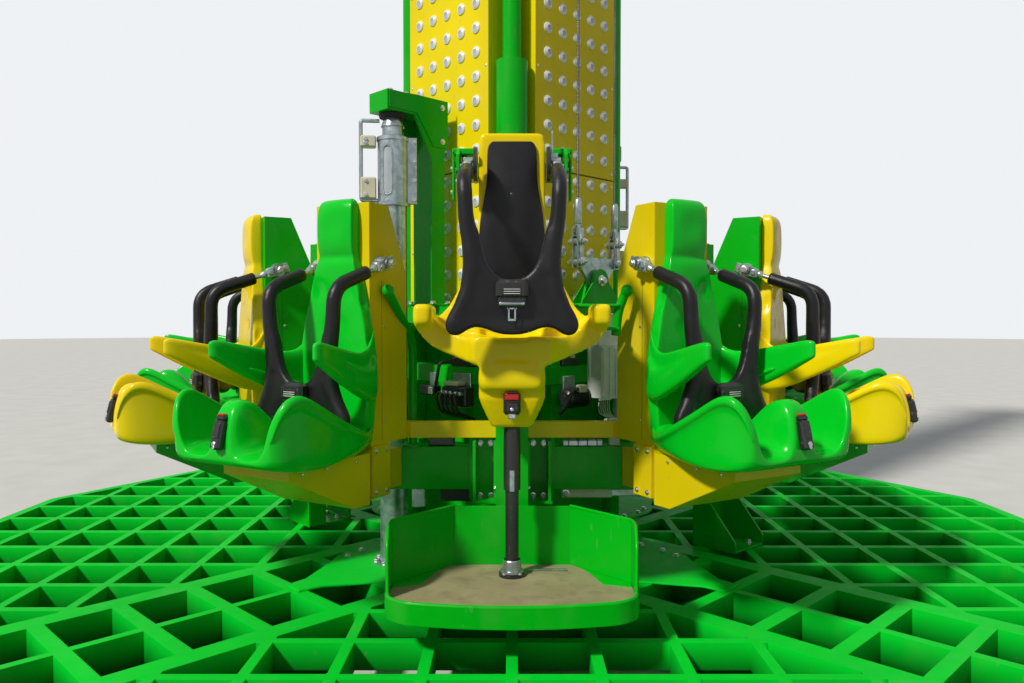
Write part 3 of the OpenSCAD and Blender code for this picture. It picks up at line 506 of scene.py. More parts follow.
def moulded_foam(shape, voxel, rounds):
    """Overlapping forms melted into one soft skin."""
    return modified(shape, REMESH={"mode": "VOXEL", "voxel_size": voxel, "use_smooth_shade": True},
                    SMOOTH={"factor": 0.5, "iterations": rounds})


def dent(shape, centre, radii, push):
    """Pushes the points near a place, most in its middle."""
    centre, push = Vector(centre), Vector(push)
    for p in shape.points:
        q = sum((d / r) ** 2 for d, r in zip(p - centre, radii))
        if q < 1:
            p += push * (1 - q) ** 2


# Seats
# Height, half width, thickness in the middle and at the rim of a seat back
BACK_ROWS = [(0.87, 0.150, 0.052, 0.048), (0.94, 0.160, 0.064, 0.056), (1.05, 0.172, 0.064, 0.060),
             (1.16, 0.180, 0.060, 0.062), (1.25, 0.172, 0.056, 0.060), (1.34, 0.152, 0.054, 0.057),
             (1.43, 0.131, 0.054, 0.053), (1.505, 0.112, 0.057, 0.051), (1.548, 0.101, 0.058, 0.049),
             (1.572, 0.094, 0.053, 0.045), (1.588, 0.089, 0.044, 0.040), (1.602, 0.087, 0.048, 0.042),
             (1.626, 0.088, 0.058, 0.049), (1.69, 0.089, 0.062, 0.052), (1.765, 0.088, 0.060, 0.050),
             (1.793, 0.084, 0.054, 0.044), (1.809, 0.076, 0.042, 0.034), (1.816, 0.062, 0.025, 0.021)]
# Share of the half width, share of the rim and of the middle thickness, across a seat back
BACK_ACROSS = [(1, 0.12, 0), (1, 0.74, 0), (0.985, 0.93, 0), (0.945, 1.0, 0), (0.82, 0.7, 0.28),
               (0.5, 0.1, 0.89), (0, 0, 1)]
# Distance from the mast axis, half width, and heights above the pan's underside of the seat,
# the hump, the side lobe, the underside and its outer edge
PAN_ROWS = [
    (1.334, 0.155, 0.125, 0.125, 0.100, 0.0, 0.030), (1.36, 0.170, 0.114, 0.114, 0.090, 0.0, 0.030),
    (1.40, 0.196, 0.099, 0.099, 0.080, 0.0, 0.030), (1.45, 0.227, 0.089, 0.089, 0.088, 0.0, 0.031),
    (1.52, 0.256, 0.080, 0.083, 0.110, 0.0, 0.028), (1.60, 0.275, 0.070, 0.082, 0.142, 0.0, 0.014),
    (1.67, 0.284, 0.062, 0.100, 0.176, 0.0, 0.004), (1.73, 0.286, 0.058, 0.152, 0.208, 0.0, 0.0),
    (1.775, 0.286, 0.056, 0.198, 0.234, 0.001, 0.0), (1.815, 0.285, 0.056, 0.226, 0.254, 0.003, 0.003),
    (1.85, 0.281, 0.056, 0.236, 0.261, 0.006, 0.008), (1.88, 0.275, 0.055, 0.232, 0.252, 0.010, 0.015),
    (1.905, 0.264, 0.052, 0.206, 0.226, 0.016, 0.026), (1.922, 0.250, 0.047, 0.152, 0.182, 0.025, 0.040),
    (1.930, 0.238, 0.043, 0.104, 0.138, 0.032, 0.052),
]
# Distance, middle across, half thickness, low and high edge of an armrest wing
WING_ROWS = [(1.336, 0.163, 0.024, 1.046, 1.318), (1.362, 0.170, 0.025, 1.041, 1.266),
             (1.40, 0.182, 0.025, 1.041, 1.228), (1.46, 0.199, 0.025, 1.056, 1.222),
             (1.54, 0.218, 0.024, 1.092, 1.237), (1.62, 0.234, 0.022, 1.130, 1.252),
             (1.69, 0.246, 0.020, 1.170, 1.266), (1.73, 0.252, 0.018, 1.194, 1.274),
             (1.752, 0.255, 0.013, 1.206, 1.271), (1.760, 0.256, 0.006, 1.215, 1.260)]


def mirrored(half):
    """Points across from one side to the other, from those of the right half, outside first."""
    return [(-y, *rest) for y, *rest in half] + [(y, *rest) for y, *rest in half[-2::-1]]


def seat_back():
    rows = []
    for z, half, middle, rim in BACK_ROWS:
        front = [(s * half, e * rim + m * middle) for s, e, m in BACK_ACROSS]
        rear = [(s * half * 0.985, 0.006 if s == 1 else 0.0) for s, e, m in BACK_ACROSS]
        rows.append((
            [(BACK_R + d, y, z) for y, d in mirrored(front)],
            [(BACK_R + d, y, z) for y, d in mirrored(rear)],
        ))
    return shell(rows)


def seat_pan():
    rows = []
    for out, half, seat, hump, lobe, low, edge in PAN_ROWS:
        rise = lobe - seat
        deep = min(0.034, 0.6 * (lobe - edge))
        top = [(half, lobe - 0.5 * deep), (0.992 * half, lobe - 0.008), (0.965 * half, lobe),
               (0.925 * half, lobe), (0.893 * half, lobe - 0.012), (0.862 * half, seat + 0.70 * rise),
               (0.82 * half, seat + 0.42 * rise), (0.76 * half, seat + 0.19 * rise),
               (0.68 * half, seat + 0.05 * rise), (0.55 * half, seat), (0.30 * half, seat),
               (0.218 * half, mix(seat, hump, 0.26)), (0.176 * half, mix(seat, hump, 0.84)),
               (0.128 * half, hump), (0, hump + 0.001)]
        low_points = [(0.998 * half, lobe - 0.85 * deep), (0.975 * half, lobe - deep),
                      (0.956 * half, lobe - 1.25 * deep), (0.95 * half, mix(lobe, edge, 0.6)),
                      (0.945 * half, edge + 0.020), (0.93 * half, edge + 0.007),
                      (0.90 * half, mix(edge, low, 0.2)), (0.84 * half, mix(edge, low, 0.75)),
                      (0.76 * half, low), (0.62 * half, low), (0.46 * half, low), (0.32 * half, low),
                      (0.2 * half, low), (0.1 * half, low), (0, low)]
        rows.append((
            [(out, y, PAN_LOW + h) for y, h in mirrored(top)],
            [(out, y, PAN_LOW + h) for y, h in mirrored(low_points)],
        ))
    return shell(rows)


def seat_wing():
    rows = []
    for out, mid, thick, low, high in WING_ROWS:
        step = min(1.0, max(0.0, (1.66 - out) / 0.2))
        shares = [(0, 0.45, 0.45), (0.06, 0.85, 0.9), (0.2, 0.95, 1.0), (0.42, 0.9, 1.0),
                  (0.60, 0.9, 0.97 - 0.05 * step), (0.68, 0.9, 0.97 - 0.72 * step),
                  (0.80, 0.9, 0.97 - 0.80 * step), (0.95, 0.8, 0.85 - 0.72 * step),
                  (1, 0.4, 0.4 - 0.4 * step)]
        rows.append((
            [(out, mid - thick * inside, mix(low, high, s)) for s, inside, outside in shares],
            [(out, mid + thick * outside, mix(low, high, s)) for s, inside, outside in shares],
        ))
    made = shell([(outer, inner) for inner, outer in rows])
    ledge = []
    for out, mid, thick, low, high in WING_ROWS[2:6]:
        z = mix(low, high, 0.3)
        reach = 0.012 if out < 1.6 else 0.004
        ledge.append((
            [(out, mid, z - 0.013), (out, mid - thick - reach * 0.8, z - 0.011),
             (out, mid - thick - reach, z - 0.002)],
            [(out, mid, z + 0.013), (out, mid - thick - reach * 0.8, z + 0.009),
             (out, mid - thick - reach, z + 0.002)],
        ))
    return made.add(shell([(high, low) for low, high in ledge]))


back = subdivided(seat_back(), 2)
for side in (-1, 1):
    for height, half in ((1.42, 0.134), (1.27, 0.168)):
        dent(back, (BACK_R + 0.034, side * half, height), (0.026, 0.03, 0.036), (0, -side * 0.012, 0))
    dent(back, (BACK_R + 0.06, side * 0.075, 1.46), (0.05, 0.04, 0.05), (-0.009, 0, 0))
dent(back, (BACK_R + 0.064, 0, 1.71), (0.05, 0.075, 0.07), (-0.005, 0, 0))
dent(back, (BACK_R + 0.056, 0, 1.33), (0.05, 0.09, 0.035), (-0.008, 0, 0))
pan = subdivided(seat_pan(), 1)
dent(pan, (1.93, 0, 0.975), (0.06, 0.032, 0.085), (-0.010, 0, 0))
wing = subdivided(seat_wing(), 1)
seat_shape = Shape().add(back).add(pan).add(wing).add(wing, MIRROR)

# Buckle holder on the hump, with its red button and two screws
holder = Shape()
tilt = shift(1.932, 0, 0.968) @ Matrix.Rotation(math.radians(-14), 4, "Y")
holder.add_blocks(tilt, [
    ((0.030, 0.046, 0.100), (0, 0, 0), 0.007, 0),
    ((0.024, 0.040, 0.016), (0, 0, 0.056), 0.004, 0),
    ((0.019, 0.032, 0.010), (0.001, 0, 0.066), 0.003, 1),
    ((0.004, 0.030, 0.050), (0.016, 0, 0.012), 0.0015, 0),
])
for radius, out, up in ((0.009, 0.015, -0.032), (0.0065, 0.0145, -0.043)):
    holder.add(screw(radius), tilt @ shift(out, 0, up) @ ALONG_X, 2)

for colour, angles, finish in (("green", GREEN_AT, green_shell), ("yellow", YELLOW_AT, yellow_shell)):
    shells = Shape()
    for angle in angles:
        shells.add(seat_shape, place_at(angle))
    piece(f"{colour}_seat_shells", shells, "carriage", finish, crease=75,
          stands_for=f"{colour}_seats")
holders = Shape()
for angle in GREEN_AT + YELLOW_AT:
    holders.add(holder, place_at(angle))
piece("buckle_holders", holders, "carriage", [black_moulding, red_button, bolt_zinc])


# Harnesses
# Front view of the vest, right half from the shoulder down and in: across, height below the pivots
VEST_OUTER = [(0.176, -0.27), (0.172, -0.32), (0.166, -0.38), (0.164, -0.44), (0.166, -0.475),
              (0.175, -0.495), (0.196, -0.528), (0.217, -0.563), (0.229, -0.590), (0.230, -0.607),
              (0.221, -0.626), (0.205, -0.637), (0.186, -0.637), (0.168, -0.628), (0.148, -0.614),
              (0.124, -0.607), (0.095, -0.612), (0.060, -0.626), (0.030, -0.633)]
VEST_INNER = [(0.116, -0.27), (0.106, -0.32), (0.096, -0.36), (0.086, -0.388), (0.073, -0.410),
              (0.055, -0.429), (0.030, -0.441)]


def vest_foam(drop, neck):
    """Foam round both arms and the vest, melted into one skin, about the pivots; drop scales its
    height and neck the depth of its neckline."""
    def z(height, share=drop):
        return -ARM_DROP + (height + ARM_DROP) * share

    made = Shape()
    for side in (-1, 1):
        path = bend([(0.098, side * ARM_S, -0.037), (ARM_REACH, side * ARM_S, -ARM_DROP),
                     (ARM_REACH, side * 0.157, z(-0.24)), (ARM_REACH, side * 0.142, z(-0.32)),
                     (ARM_REACH, side * 0.134, z(-0.42))], 0.105, 9)
        made.add(tube(path, [0.0275 + 0.007 * max(0, i / len(path) - 0.3) for i in range(len(path))], 20))
        corner = [(ARM_REACH, side * 0.138, z(-0.38)), (ARM_REACH, side * 0.150, z(-0.48)),
                  (ARM_REACH, side * 0.199, z(-0.604))]
        made.add(tube(corner, [0.030, 0.029, 0.028], 16))
    outline = VEST_OUTER + [(0, -0.634)] + [(-y, h) for y, h in VEST_OUTER[::-1]]
    outline = [(y, z(h)) for y, h in outline]
    outline += [(-y, z(h, neck)) for y, h in VEST_INNER] + [(0, z(-0.444, neck))]
    outline += [(y, z(h, neck)) for y, h in VEST_INNER[::-1]]
    made.add(prism(outline[::-1], -0.020, 0.020), facing_out(ARM_REACH))
    soft = moulded_foam(made, 0.008, 9)
    dent(soft, (ARM_REACH + 0.026, 0, z(-0.57)), (0.05, 0.16, 0.05), (-0.006, 0, 0))
    return soft


def knuckle():
    """Forked steel knuckle, its pin and the rod that goes into the foam."""
    made = Shape()
    lean = Matrix.Rotation(math.atan2(ARM_DROP, ARM_REACH), 4, "Y")
    made.add_blocks(lean, [
        ((0.092, 0.007, 0.042), (0.002, -0.0145, 0), 0.006, 0),
        ((0.092, 0.007, 0.042), (0.002, 0.0145, 0), 0.006, 0),
        ((0.034, 0.036, 0.040), (0.040, 0, 0), 0.006, 0),
    ])
    made.add(tube([(0.05, 0, 0), (0.13, 0, 0)], 0.0095, 16), lean)
    made.add(lathe([(0, 0), (0.015, 0), (0.017, 0.004), (0.017, 0.012), (0.0105, 0.024), (0, 0.024)], 16),
             lean @ shift(0.056, 0, 0) @ ALONG_X)
    made.add(lathe([(0, -0.018), (0.0275, -0.018), (0.0275, 0.018), (0, 0.018)], 24), ALONG_Y)
    made.add_bolts(0.012, lean, [(-0.028, 0.018, 0), (0.038, 0.018, 0)], SIDEWAYS[1])
    made.add_bolts(0.012, lean, [(0.038, -0.018, 0)], SIDEWAYS[-1])
    return made


def vest_buckle():
    """Block on the vest with a slotted plate, a strap and its hanging tongue."""
    made = Shape()
    front = ARM_REACH + 0.0225
    made.add_blocks(SAME, [
        ((0.046, 0.110, 0.066), (front + 0.013, 0, -0.480), 0.012, 0),
        ((0.030, 0.094, 0.040), (front + 0.014, 0, -0.522), 0.006, 0),
        ((0.004, 0.064, 0.030), (front + 0.036, 0, -0.486), 0.0015, 0),
        *[((0.003, 0.056, 0.0024), (front + 0.0385, 0, -0.480 - 0.0075 * k), 0.001, 2) for k in range(3)],
        ((0.006, 0.078, 0.010), (front + 0.030, 0, -0.528), 0.003, 1),
    ])
    for side in (-1, 1):
        made.add(screw(0.005), shift(front + 0.0290, side * 0.038, -0.528) @ ALONG_X, 1)
        made.add(block((0.0025, 0.006, 0.044), (front + 0.019, side * 0.0105, -0.560), 0.001), slot=1)
    made.add_blocks(SAME, [
        ((0.0025, 0.034, 0.013), (front + 0.019, 0, -0.541), 0.001, 1),
        ((0.0025, 0.027, 0.008), (front + 0.019, 0, -0.583), 0.001, 1),
        ((0.0018, 0.026, 0.020), (front + 0.018, 0, -0.530), 0.0006, 0),
    ])
    return made


standing_foam, seat_foam = vest_foam(1.0, 1.0), vest_foam(0.96, 1.03)
fittings = Shape()
for side in (1, -1):
    fittings.add(knuckle(), shift(0, side * ARM_S, 0), 1)
fittings.add(vest_buckle())
for number in range(12):
    angle, body = 30 * number, f"harness_{number + 1:02d}"
    soft, height = (standing_foam, STAND_Z) if angle in STAND_AT else (seat_foam, PIVOT_Z)
    at = place_at(angle, PIVOT_R, 0, height)
    vest = piece(f"vest_{angle:03d}", Shape().add(soft, at), body, pad_skin, crease=60,
                 stands_for=body)
    piece(f"harness_fittings_{angle:03d}", Shape().add(fittings, at), body,
          [black_moulding, galvanised, grey_box])


# Standing places
# Outline of the standing back: half width over height
STAND_BACK = [(2.071, 0.104), (2.066, 0.118), (2.055, 0.125), (2.03, 0.128), (1.90, 0.129), (1.78, 0.129),
              (1.68, 0.137), (1.58, 0.160), (1.50, 0.190), (1.43, 0.228), (1.37, 0.262), (1.31, 0.280),
              (1.25, 0.262), (1.20, 0.20)]
# Sections of a side horn: across, back and front distance, underside and top
HORN = [(0.06, 1.14, 1.435, 1.180, 1.286), (0.12, 1.14, 1.432, 1.182, 1.286),
        (0.17, 1.14, 1.398, 1.196, 1.284), (0.215, 1.14, 1.372, 1.214, 1.296),
        (0.255, 1.14, 1.372, 1.230, 1.322), (0.285, 1.145, 1.384, 1.246, 1.352),
        (0.310, 1.16, 1.402, 1.266, 1.384), (0.333, 1.19, 1.425, 1.296, 1.400),
        (0.350, 1.23, 1.440, 1.326, 1.402)]
# Bulge above the lap buckle and the nose below it: height, half width, front distance
POMMEL = [(1.221, 0.052, 1.396), (1.212, 0.086, 1.424), (1.194, 0.108, 1.440), (1.165, 0.119, 1.449),
          (1.135, 0.1215, 1.450), (1.112, 0.1205, 1.448), (1.094, 0.114, 1.440)]
NOSE = [(1.20, 0.112, 1.40), (1.12, 0.1215, 1.415), (1.062, 0.1215, 1.415), (1.03, 0.110, 1.405),
        (0.985, 0.090, 1.388), (0.952, 0.076, 1.374)]
PAD_HALF = [(2.036, 0.072), (2.030, 0.085), (2.016, 0.093), (1.99, 0.096), (1.93, 0.097), (1.87, 0.098),
            (1.80, 0.112), (1.72, 0.127), (1.62, 0.130), (1.53, 0.130), (1.47, 0.128), (1.455, 0.121),
            (1.447, 0.106)]
# Corners of the rib between the back and a horn: out from the back, across and up
HORN_RIB = [
    [(0.004, 0.10, 1.24), (0.135, 0.12, 1.24), (0.135, 0.12, 1.31), (0.004, 0.10, 1.31)],
    [(0.004, 0.225, 1.26), (0.115, 0.235, 1.26), (0.095, 0.235, 1.36), (0.004, 0.215, 1.42)],
    [(0.016, 0.268, 1.28), (0.110, 0.286, 1.28), (0.090, 0.278, 1.37), (0.016, 0.250, 1.40)],
]


def standing_shell():
    """Back, saddle with its horns, and nose, melted into one moulding."""
    made = Shape()
    outline = [(-half, z) for z, half in STAND_BACK] + [(half, z) for z, half in STAND_BACK[::-1]]
    made.add(prism(outline, SHELL_R, SHELL_R + 0.055), facing_out())
    horn = strips([[(b, w, low), (f, w, low), (f, w, high), (b, w, high)] for w, b, f, low, high in HORN],
                  True)
    rib = strips([[(SHELL_R + x, y, z) for x, y, z in row] for row in HORN_RIB], True)
    for mirror in (SAME, MIRROR):
        made.add(horn, mirror)
        made.add(block((0.200, 0.068, 0.078), (1.351, 0.322, 1.365), 0.012), mirror)
        made.add(rib, mirror)
    made.add(block((0.30, 0.30, 0.10), (1.282, 0, 1.232), 0.012))
    for sections, rear in ((POMMEL, 1.28), (NOSE, 1.20)):
        rows = []
        for z, h, f in sections[::-1]:
            rows.append([(rear, -h, z), (f - 0.022, -h, z), (f, -h + 0.020, z),
                         (f, h - 0.020, z), (f - 0.022, h, z), (rear, h, z)])
        made.add(strips(rows, True))
    soft = moulded_foam(made, 0.0085, 4)
    dent(soft, (1.418, 0, 1.045), (0.03, 0.075, 0.075), (-0.004, 0, 0))
    return soft


def cushion(outline, rear, edge, crown):
    """A crowned pad over an outline of (height, half width), drawn in round its seam."""
    across = [-1, -0.985, -0.93, -0.8, -0.55, -0.28, 0, 0.28, 0.55, 0.8, 0.93, 0.985, 1]
    rows = []
    top, low = outline[0][0], outline[-1][0]
    for z, half in outline[::-1]:
        lift = min(1.0, 3.2 * min(top - z, z - low) / (top - low) + 0.12)
        front, behind = [], []
        for s in across:
            seam = abs(s) == 1
            bulge = (1 - abs(s) ** 3.2) * lift
            front.append((rear + edge + crown * bulge - (0.006 if seam else 0.0), s * half, z))
            behind.append((rear + (0.004 if seam else 0.0), s * half * 0.985, z))
        rows.append((front, behind))
    return shell(rows)


stand_shape = standing_shell()
stand_pad = subdivided(cushion(PAD_HALF, 1.1855, 0.013, 0.015), 2)
dent(stand_pad, (1.213, 0, 1.829), (0.03, 0.016, 0.016), (-0.004, 0, 0))
lap = Shape()
lean = shift(1.424, 0, 1.046) @ Matrix.Rotation(math.radians(-4), 4, "Y")
lap.add_blocks(lean, [
    ((0.030, 0.062, 0.084), (-0.004, 0, 0), 0.009, 0),
    ((0.016, 0.050, 0.040), (0.010, 0, -0.014), 0.006, 0),
    ((0.018, 0.053, 0.030), (0.008, 0, 0.024), 0.005, 1),
    ((0.008, 0.040, 0.006), (0.018, 0, 0.039), 0.002, 0),
    ((0.010, 0.030, 0.022), (0.006, 0, -0.046), 0.005, 2),
])
lap.add(screw(0.0065), lean @ shift(0.0175, 0, -0.022) @ ALONG_X, 2)

shells, laps, dots = Shape(), Shape(), Shape()
for angle in STAND_AT:
    at = place_at(angle)
    shells.add(stand_shape, at)
    laps.add(lap, at)
    dots.add(screw(0.0075), at @ shift(1.2095, 0, 1.829) @ ALONG_X)
    pad = piece(f"back_pad_{angle:03d}", Shape().add(stand_pad, at), "carriage", pad_skin, crease=60,
                stands_for="standing_pads")
piece("standing_mouldings", shells, "carriage", yellow_shell, crease=60,
      stands_for="standing_shells")
piece("lap_buckles", laps, "carriage", [black_moulding, red_button, bolt_zinc])
piece("back_pad_screws", dots, "carriage", black_metal)


# Mast: light caps, panel screws and hoist cables
CAP_ROWS, CAP_RISE, CAP_PITCH = 16, 0.1145, 0.106
cap = Shape()
cap.add(lathe([(0.0275, 0), (0.0265, 0.005), (0.0135, 0.0115)], 12), slot=0)
cap.add(lathe([(0.0135, 0.0115), (0.0100, 0.0105), (0, 0.0115)], 12), slot=1)
for angle in FACES_AT:
    caps, fixings = Shape(), Shape()
    for bay in range(BAYS):
        foot = MAST_FOOT + BAY_H * bay
        for height in [foot + 0.088 + CAP_RISE * row for row in range(CAP_ROWS)]:
            if height > PANEL_LOW + 0.03:
                for column in (-2, -1, 0, 1, 2):
                    caps.add(cap, place_at(angle, MAST_HALF, CAP_PITCH * column, height) @ ALONG_X)
        for height in (0.03, 0.47, 0.93, 1.38, 1.815) if bay else (1.14, 1.47, 1.815):
            for side in (-1, 1):
                spot = place_at(angle, MAST_HALF, side * (PANEL_HALF - 0.018), foot + height)
                fixings.add(screw(0.006), spot @ ALONG_X)
    piece(f"light_caps_{angle:03d}", caps, "tower", [lens, lens_core], crease=30)
    piece(f"panel_screws_{angle:03d}", fixings, "tower", bolt_zinc)


def wire(low, high, radius):
    """A laid wire rope of six strands, which wind round it once in 120 mm."""
    rows = []
    count = round((high - low) / 0.02)
    for j in range(count + 1):
        rows.append([])
        for k in range(12):
            turn = math.tau * (k / 12 + j / 6)
            r = radius * (0.8 if k % 2 else 1.0)
            rows[-1].append((r * math.cos(turn), r * math.sin(turn), mix(low, high, j / count)))
    return strips(rows, True)


ropes = Shape()
for angle in HOIST_AT:
    for side in (-1, 1):
        ropes.add(wire(CABLE_LOW, CABLE_TOP, 0.0068), place_at(angle, CABLE_R, side * CABLE_S))
ropes = piece("hoist_ropes", ropes, "tower", wire_rope, crease=80,
              stands_for="hoist_cables")
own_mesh(ropes)


# Hoist fittings
def eye(radius, wire_radius):
    """A pear-shaped loop in the plane of across and up, hung from its top."""
    path = []
    for turn in [math.tau * k / 24 for k in range(25)]:
        squeeze = 1.0 - 0.35 * max(0.0, math.cos(turn))
        path.append((0, radius * squeeze * math.sin(turn), radius * 1.35 * math.cos(turn) - radius * 1.35))
    return tube(path, wire_radius, 8)


hoist = Shape()
ferrule = LUG_Z + 0.265
ferrule_profile = [(0.016, 0), (0.0185, 0.004), (0.0185, 0.104), (0.014, 0.118), (0.0075, 0.124),
                   (0, 0.124)]
web = [(-0.142, 1.4255), (0.142, 1.4255), (0.142, 1.436), (0.056, 1.532)]
web += [(0.056 * math.cos(a), LUG_Z + 0.056 * math.sin(a)) for a in [math.pi * k / 14 for k in range(15)]]
web += [(-0.056, 1.532), (-0.142, 1.436)]
for angle in HOIST_AT:
    # Ferrule, eye, shackle and its two bolts on each cable
    for side in (-1, 1):
        at = place_at(angle, CABLE_R, side * CABLE_S)
        hoist.add(lathe(ferrule_profile, 20), at @ shift(0, 0, ferrule - 0.002), 0)
        hoist.add(eye(0.024, 0.0062), at @ shift(0, 0, ferrule + 0.004), 2)
        for out in (-1, 1):
            cheek = bend([(out * 0.0235, 0, -0.004), (out * 0.0235, 0, 0.115), (out * 0.006, 0, 0.150)],
                         0.02, 4)
            hoist.add(tube(cheek, 0.0105, 12), at @ shift(0, 0, LUG_Z + 0.082), 0)
        for height, reach in ((LUG_Z + 0.085, 0.034), (LUG_Z + 0.182, 0.030)):
            for out, turn in OUTWARDS.items():
                spot = at @ shift(out * reach, 0, height) @ turn
                hoist.add(hex_bolt(0.018), spot, 1)
                hoist.add(lathe([(0.008, 0), (0.008, 0.026), (0.0065, 0.028), (0, 0.028)], 12), spot, 1)
            hoist.add(lathe([(0.020, -0.036), (0.020, 0.036)], 20), at @ shift(0, 0, height) @ ALONG_X, 0)
    # Pin of the balance plate, its bolts, and the webs and foot beside it
    for out, turn in OUTWARDS.items():
        spot = place_at(angle, CABLE_R + out * 0.0315, 0, LUG_Z) @ turn
        hoist.add(lathe([(0.027, 0), (0.027, 0.004), (0.024, 0.006), (0, 0.006)], 20), spot, 1)
        hoist.add(lathe([(0.0155, 0.006), (0.0155, 0.022), (0.013, 0.025), (0, 0.025)], 20), spot, 1)
        hoist.add(tube([(0, -0.021, 0.016), (0, 0.021, 0.016)], 0.0025, 8), spot, 1)
    spots = [(CABLE_R + out * 0.012 - 0.004, side * 0.078, 1.425) for side in (-1, 1) for out in (-1, 1)]
    hoist.add_bolts(0.012, place_at(angle), spots, slot=1)
    for out in (-1, 1):
        hoist.add(prism(web, 0, 0.0063, 0.0015), place_at(angle, CABLE_R) @ facing_out(out * 0.0252, out),
                  3)
    hoist.add(block((0.078, 0.296, 0.010), (CABLE_R - 0.01, 0, 1.4195), 0.003), place_at(angle), 3)
piece("hoist_shackles", hoist, "carriage", [galvanised, bolt_zinc, wire_rope, green_paint])


# Buffers
def about(face, turned):
    """The frame of a buffer, turned so that +X looks along an angle round the mast."""
    spot = place_at(face, BUFFER_R).to_translation()
    return Matrix.Translation(spot) @ place_at(turned)


SLOT_HALF, SLOT_R = 0.31, 0.0712
# Frame of the sight slot: share of the half angle, and height
SLOT_FRAME = [(-1, 1.945), (-1, 2.12), (-0.7, 2.139), (0, 2.146), (0.7, 2.139), (1, 2.12), (1, 1.945),
              (0.7, 1.926), (0, 1.919), (-0.7, 1.926), (-1, 1.945), (-1, 1.97)]

fixed, rubbers = Shape(), Shape()
for face, turned in ((315, 8.4), (135, 188.4)):
    at = about(face, turned)
    # Stepped rings on the cylinder and its base
    for radius, low, high in ((0.077, 1.872, 1.890), (0.0745, 2.172, 2.192), (0.056, 2.186, 2.200),
                              (0.072, 0.216, 0.232)):
        fixed.add(lathe([(0.06, low), (radius - 0.002, low), (radius, low + 0.002), (radius, high - 0.002),
                         (radius - 0.002, high), (0.04, high)], 32), at, 0)
    # Sight slot with its frame
    window = at @ Matrix.Rotation(math.radians(-21), 4, "Z")
    fixed.add(curved(SLOT_R, SLOT_HALF * 0.86, 1.93, 2.135), window, 3)
    oval = [(SLOT_R + 0.0015) * Vector((math.cos(SLOT_HALF * share), math.sin(SLOT_HALF * share), 0))
            + Vector((0, 0, z)) for share, z in SLOT_FRAME]
    fixed.add(tube(oval, 0.0038, 8), window, 0)
    # Bolted flanges down the right side
    fixed.add_blocks(at, [((0.006, 0.046, 0.31), (out * 0.006, 0.088, 2.040), 0.002, 0) for out in (-1, 1)])
    for height in (1.905, 1.995, 2.085, 2.175):
        for out, turn in OUTWARDS.items():
            fixed.add_bolts(0.011, at, [(out * 0.009, 0.098, height)], turn, 1)
    # Bracket on the left with two cream blocks
    corners = [(0, -0.060, 2.268), (0, -0.146, 2.268), (0, -0.146, 1.900), (0, -0.070, 1.900)]
    bracket = bend(corners, 0.012, 3)
    fixed.add(tube(bracket, 0.0095, 8), at, 0)
    fixed.add(block((0.030, 0.012, 0.345), (0, -0.146, 2.080), 0.002), at, 0)
    for low, high in ((1.905, 2.005), (2.142, 2.196)):
        fixed.add(block((0.050, 0.072, high - low), (0.006, -0.112, (low + high) / 2), 0.006), at, 2)
        fixed.add_bolts(0.009, at, [(0.031, -0.124, z) for z in (low + 0.018, high - 0.018)], ALONG_X, 1)
    # Foot ring with its bolts
    foot = [math.tau * k / 8 + 0.2 for k in range(8)]
    fixed.add_bolts(0.016, at, [(0.084 * math.cos(a), 0.084 * math.sin(a), 0.215) for a in foot], slot=1)
    # Rubber collar under the outrigger
    collar = [(0.030, 2.2815), (0.060, 2.2815), (0.0635, 2.287), (0.0635, 2.297), (0.060, 2.3015)]
    rubbers.add(lathe(collar, 32), at)
piece("buffer_fittings", fixed, "tower", [galvanised, bolt_zinc, cream, lens_core])
piece("buffer_collars", rubbers, "carriage", rubber)


# Bolts, brackets and small fittings
steel, dark, ground = Shape(), Shape(), Shape()
posts = Shape()
CHEEK = [(0.512, 2.395), (0.512, 2.17), (0.60, 2.17), (0.70, 2.312), (0.855, 2.312), (0.855, 2.386),
         (0.70, 2.395)]
for face in (315, 135):
    # Outrigger cheek plates, base flange and bolts
    at = place_at(face)
    for side, turn in SIDEWAYS.items():
        posts.add(prism(CHEEK, 0, 0.006), at @ facing_side(side * 0.071 + 0.003))
        steel.add_bolts(0.012, at, [(0.545, side * 0.0745, z) for z in (2.36, 2.20)], turn)
    posts.add(block((0.128, 0.196, 0.012), (0.570, 0, 1.417), 0.003), at)
    steel.add_bolts(0.016, at, [(x, y, 1.423) for x in (0.525, 0.617) for y in (-0.084, 0.084)])
    steel.add_bolts(0.014, at, [(x, y, 2.392) for y in (-0.045, 0.045) for x in (0.74, 0.83)])
piece("outrigger_plates", posts, "carriage", green_paint)

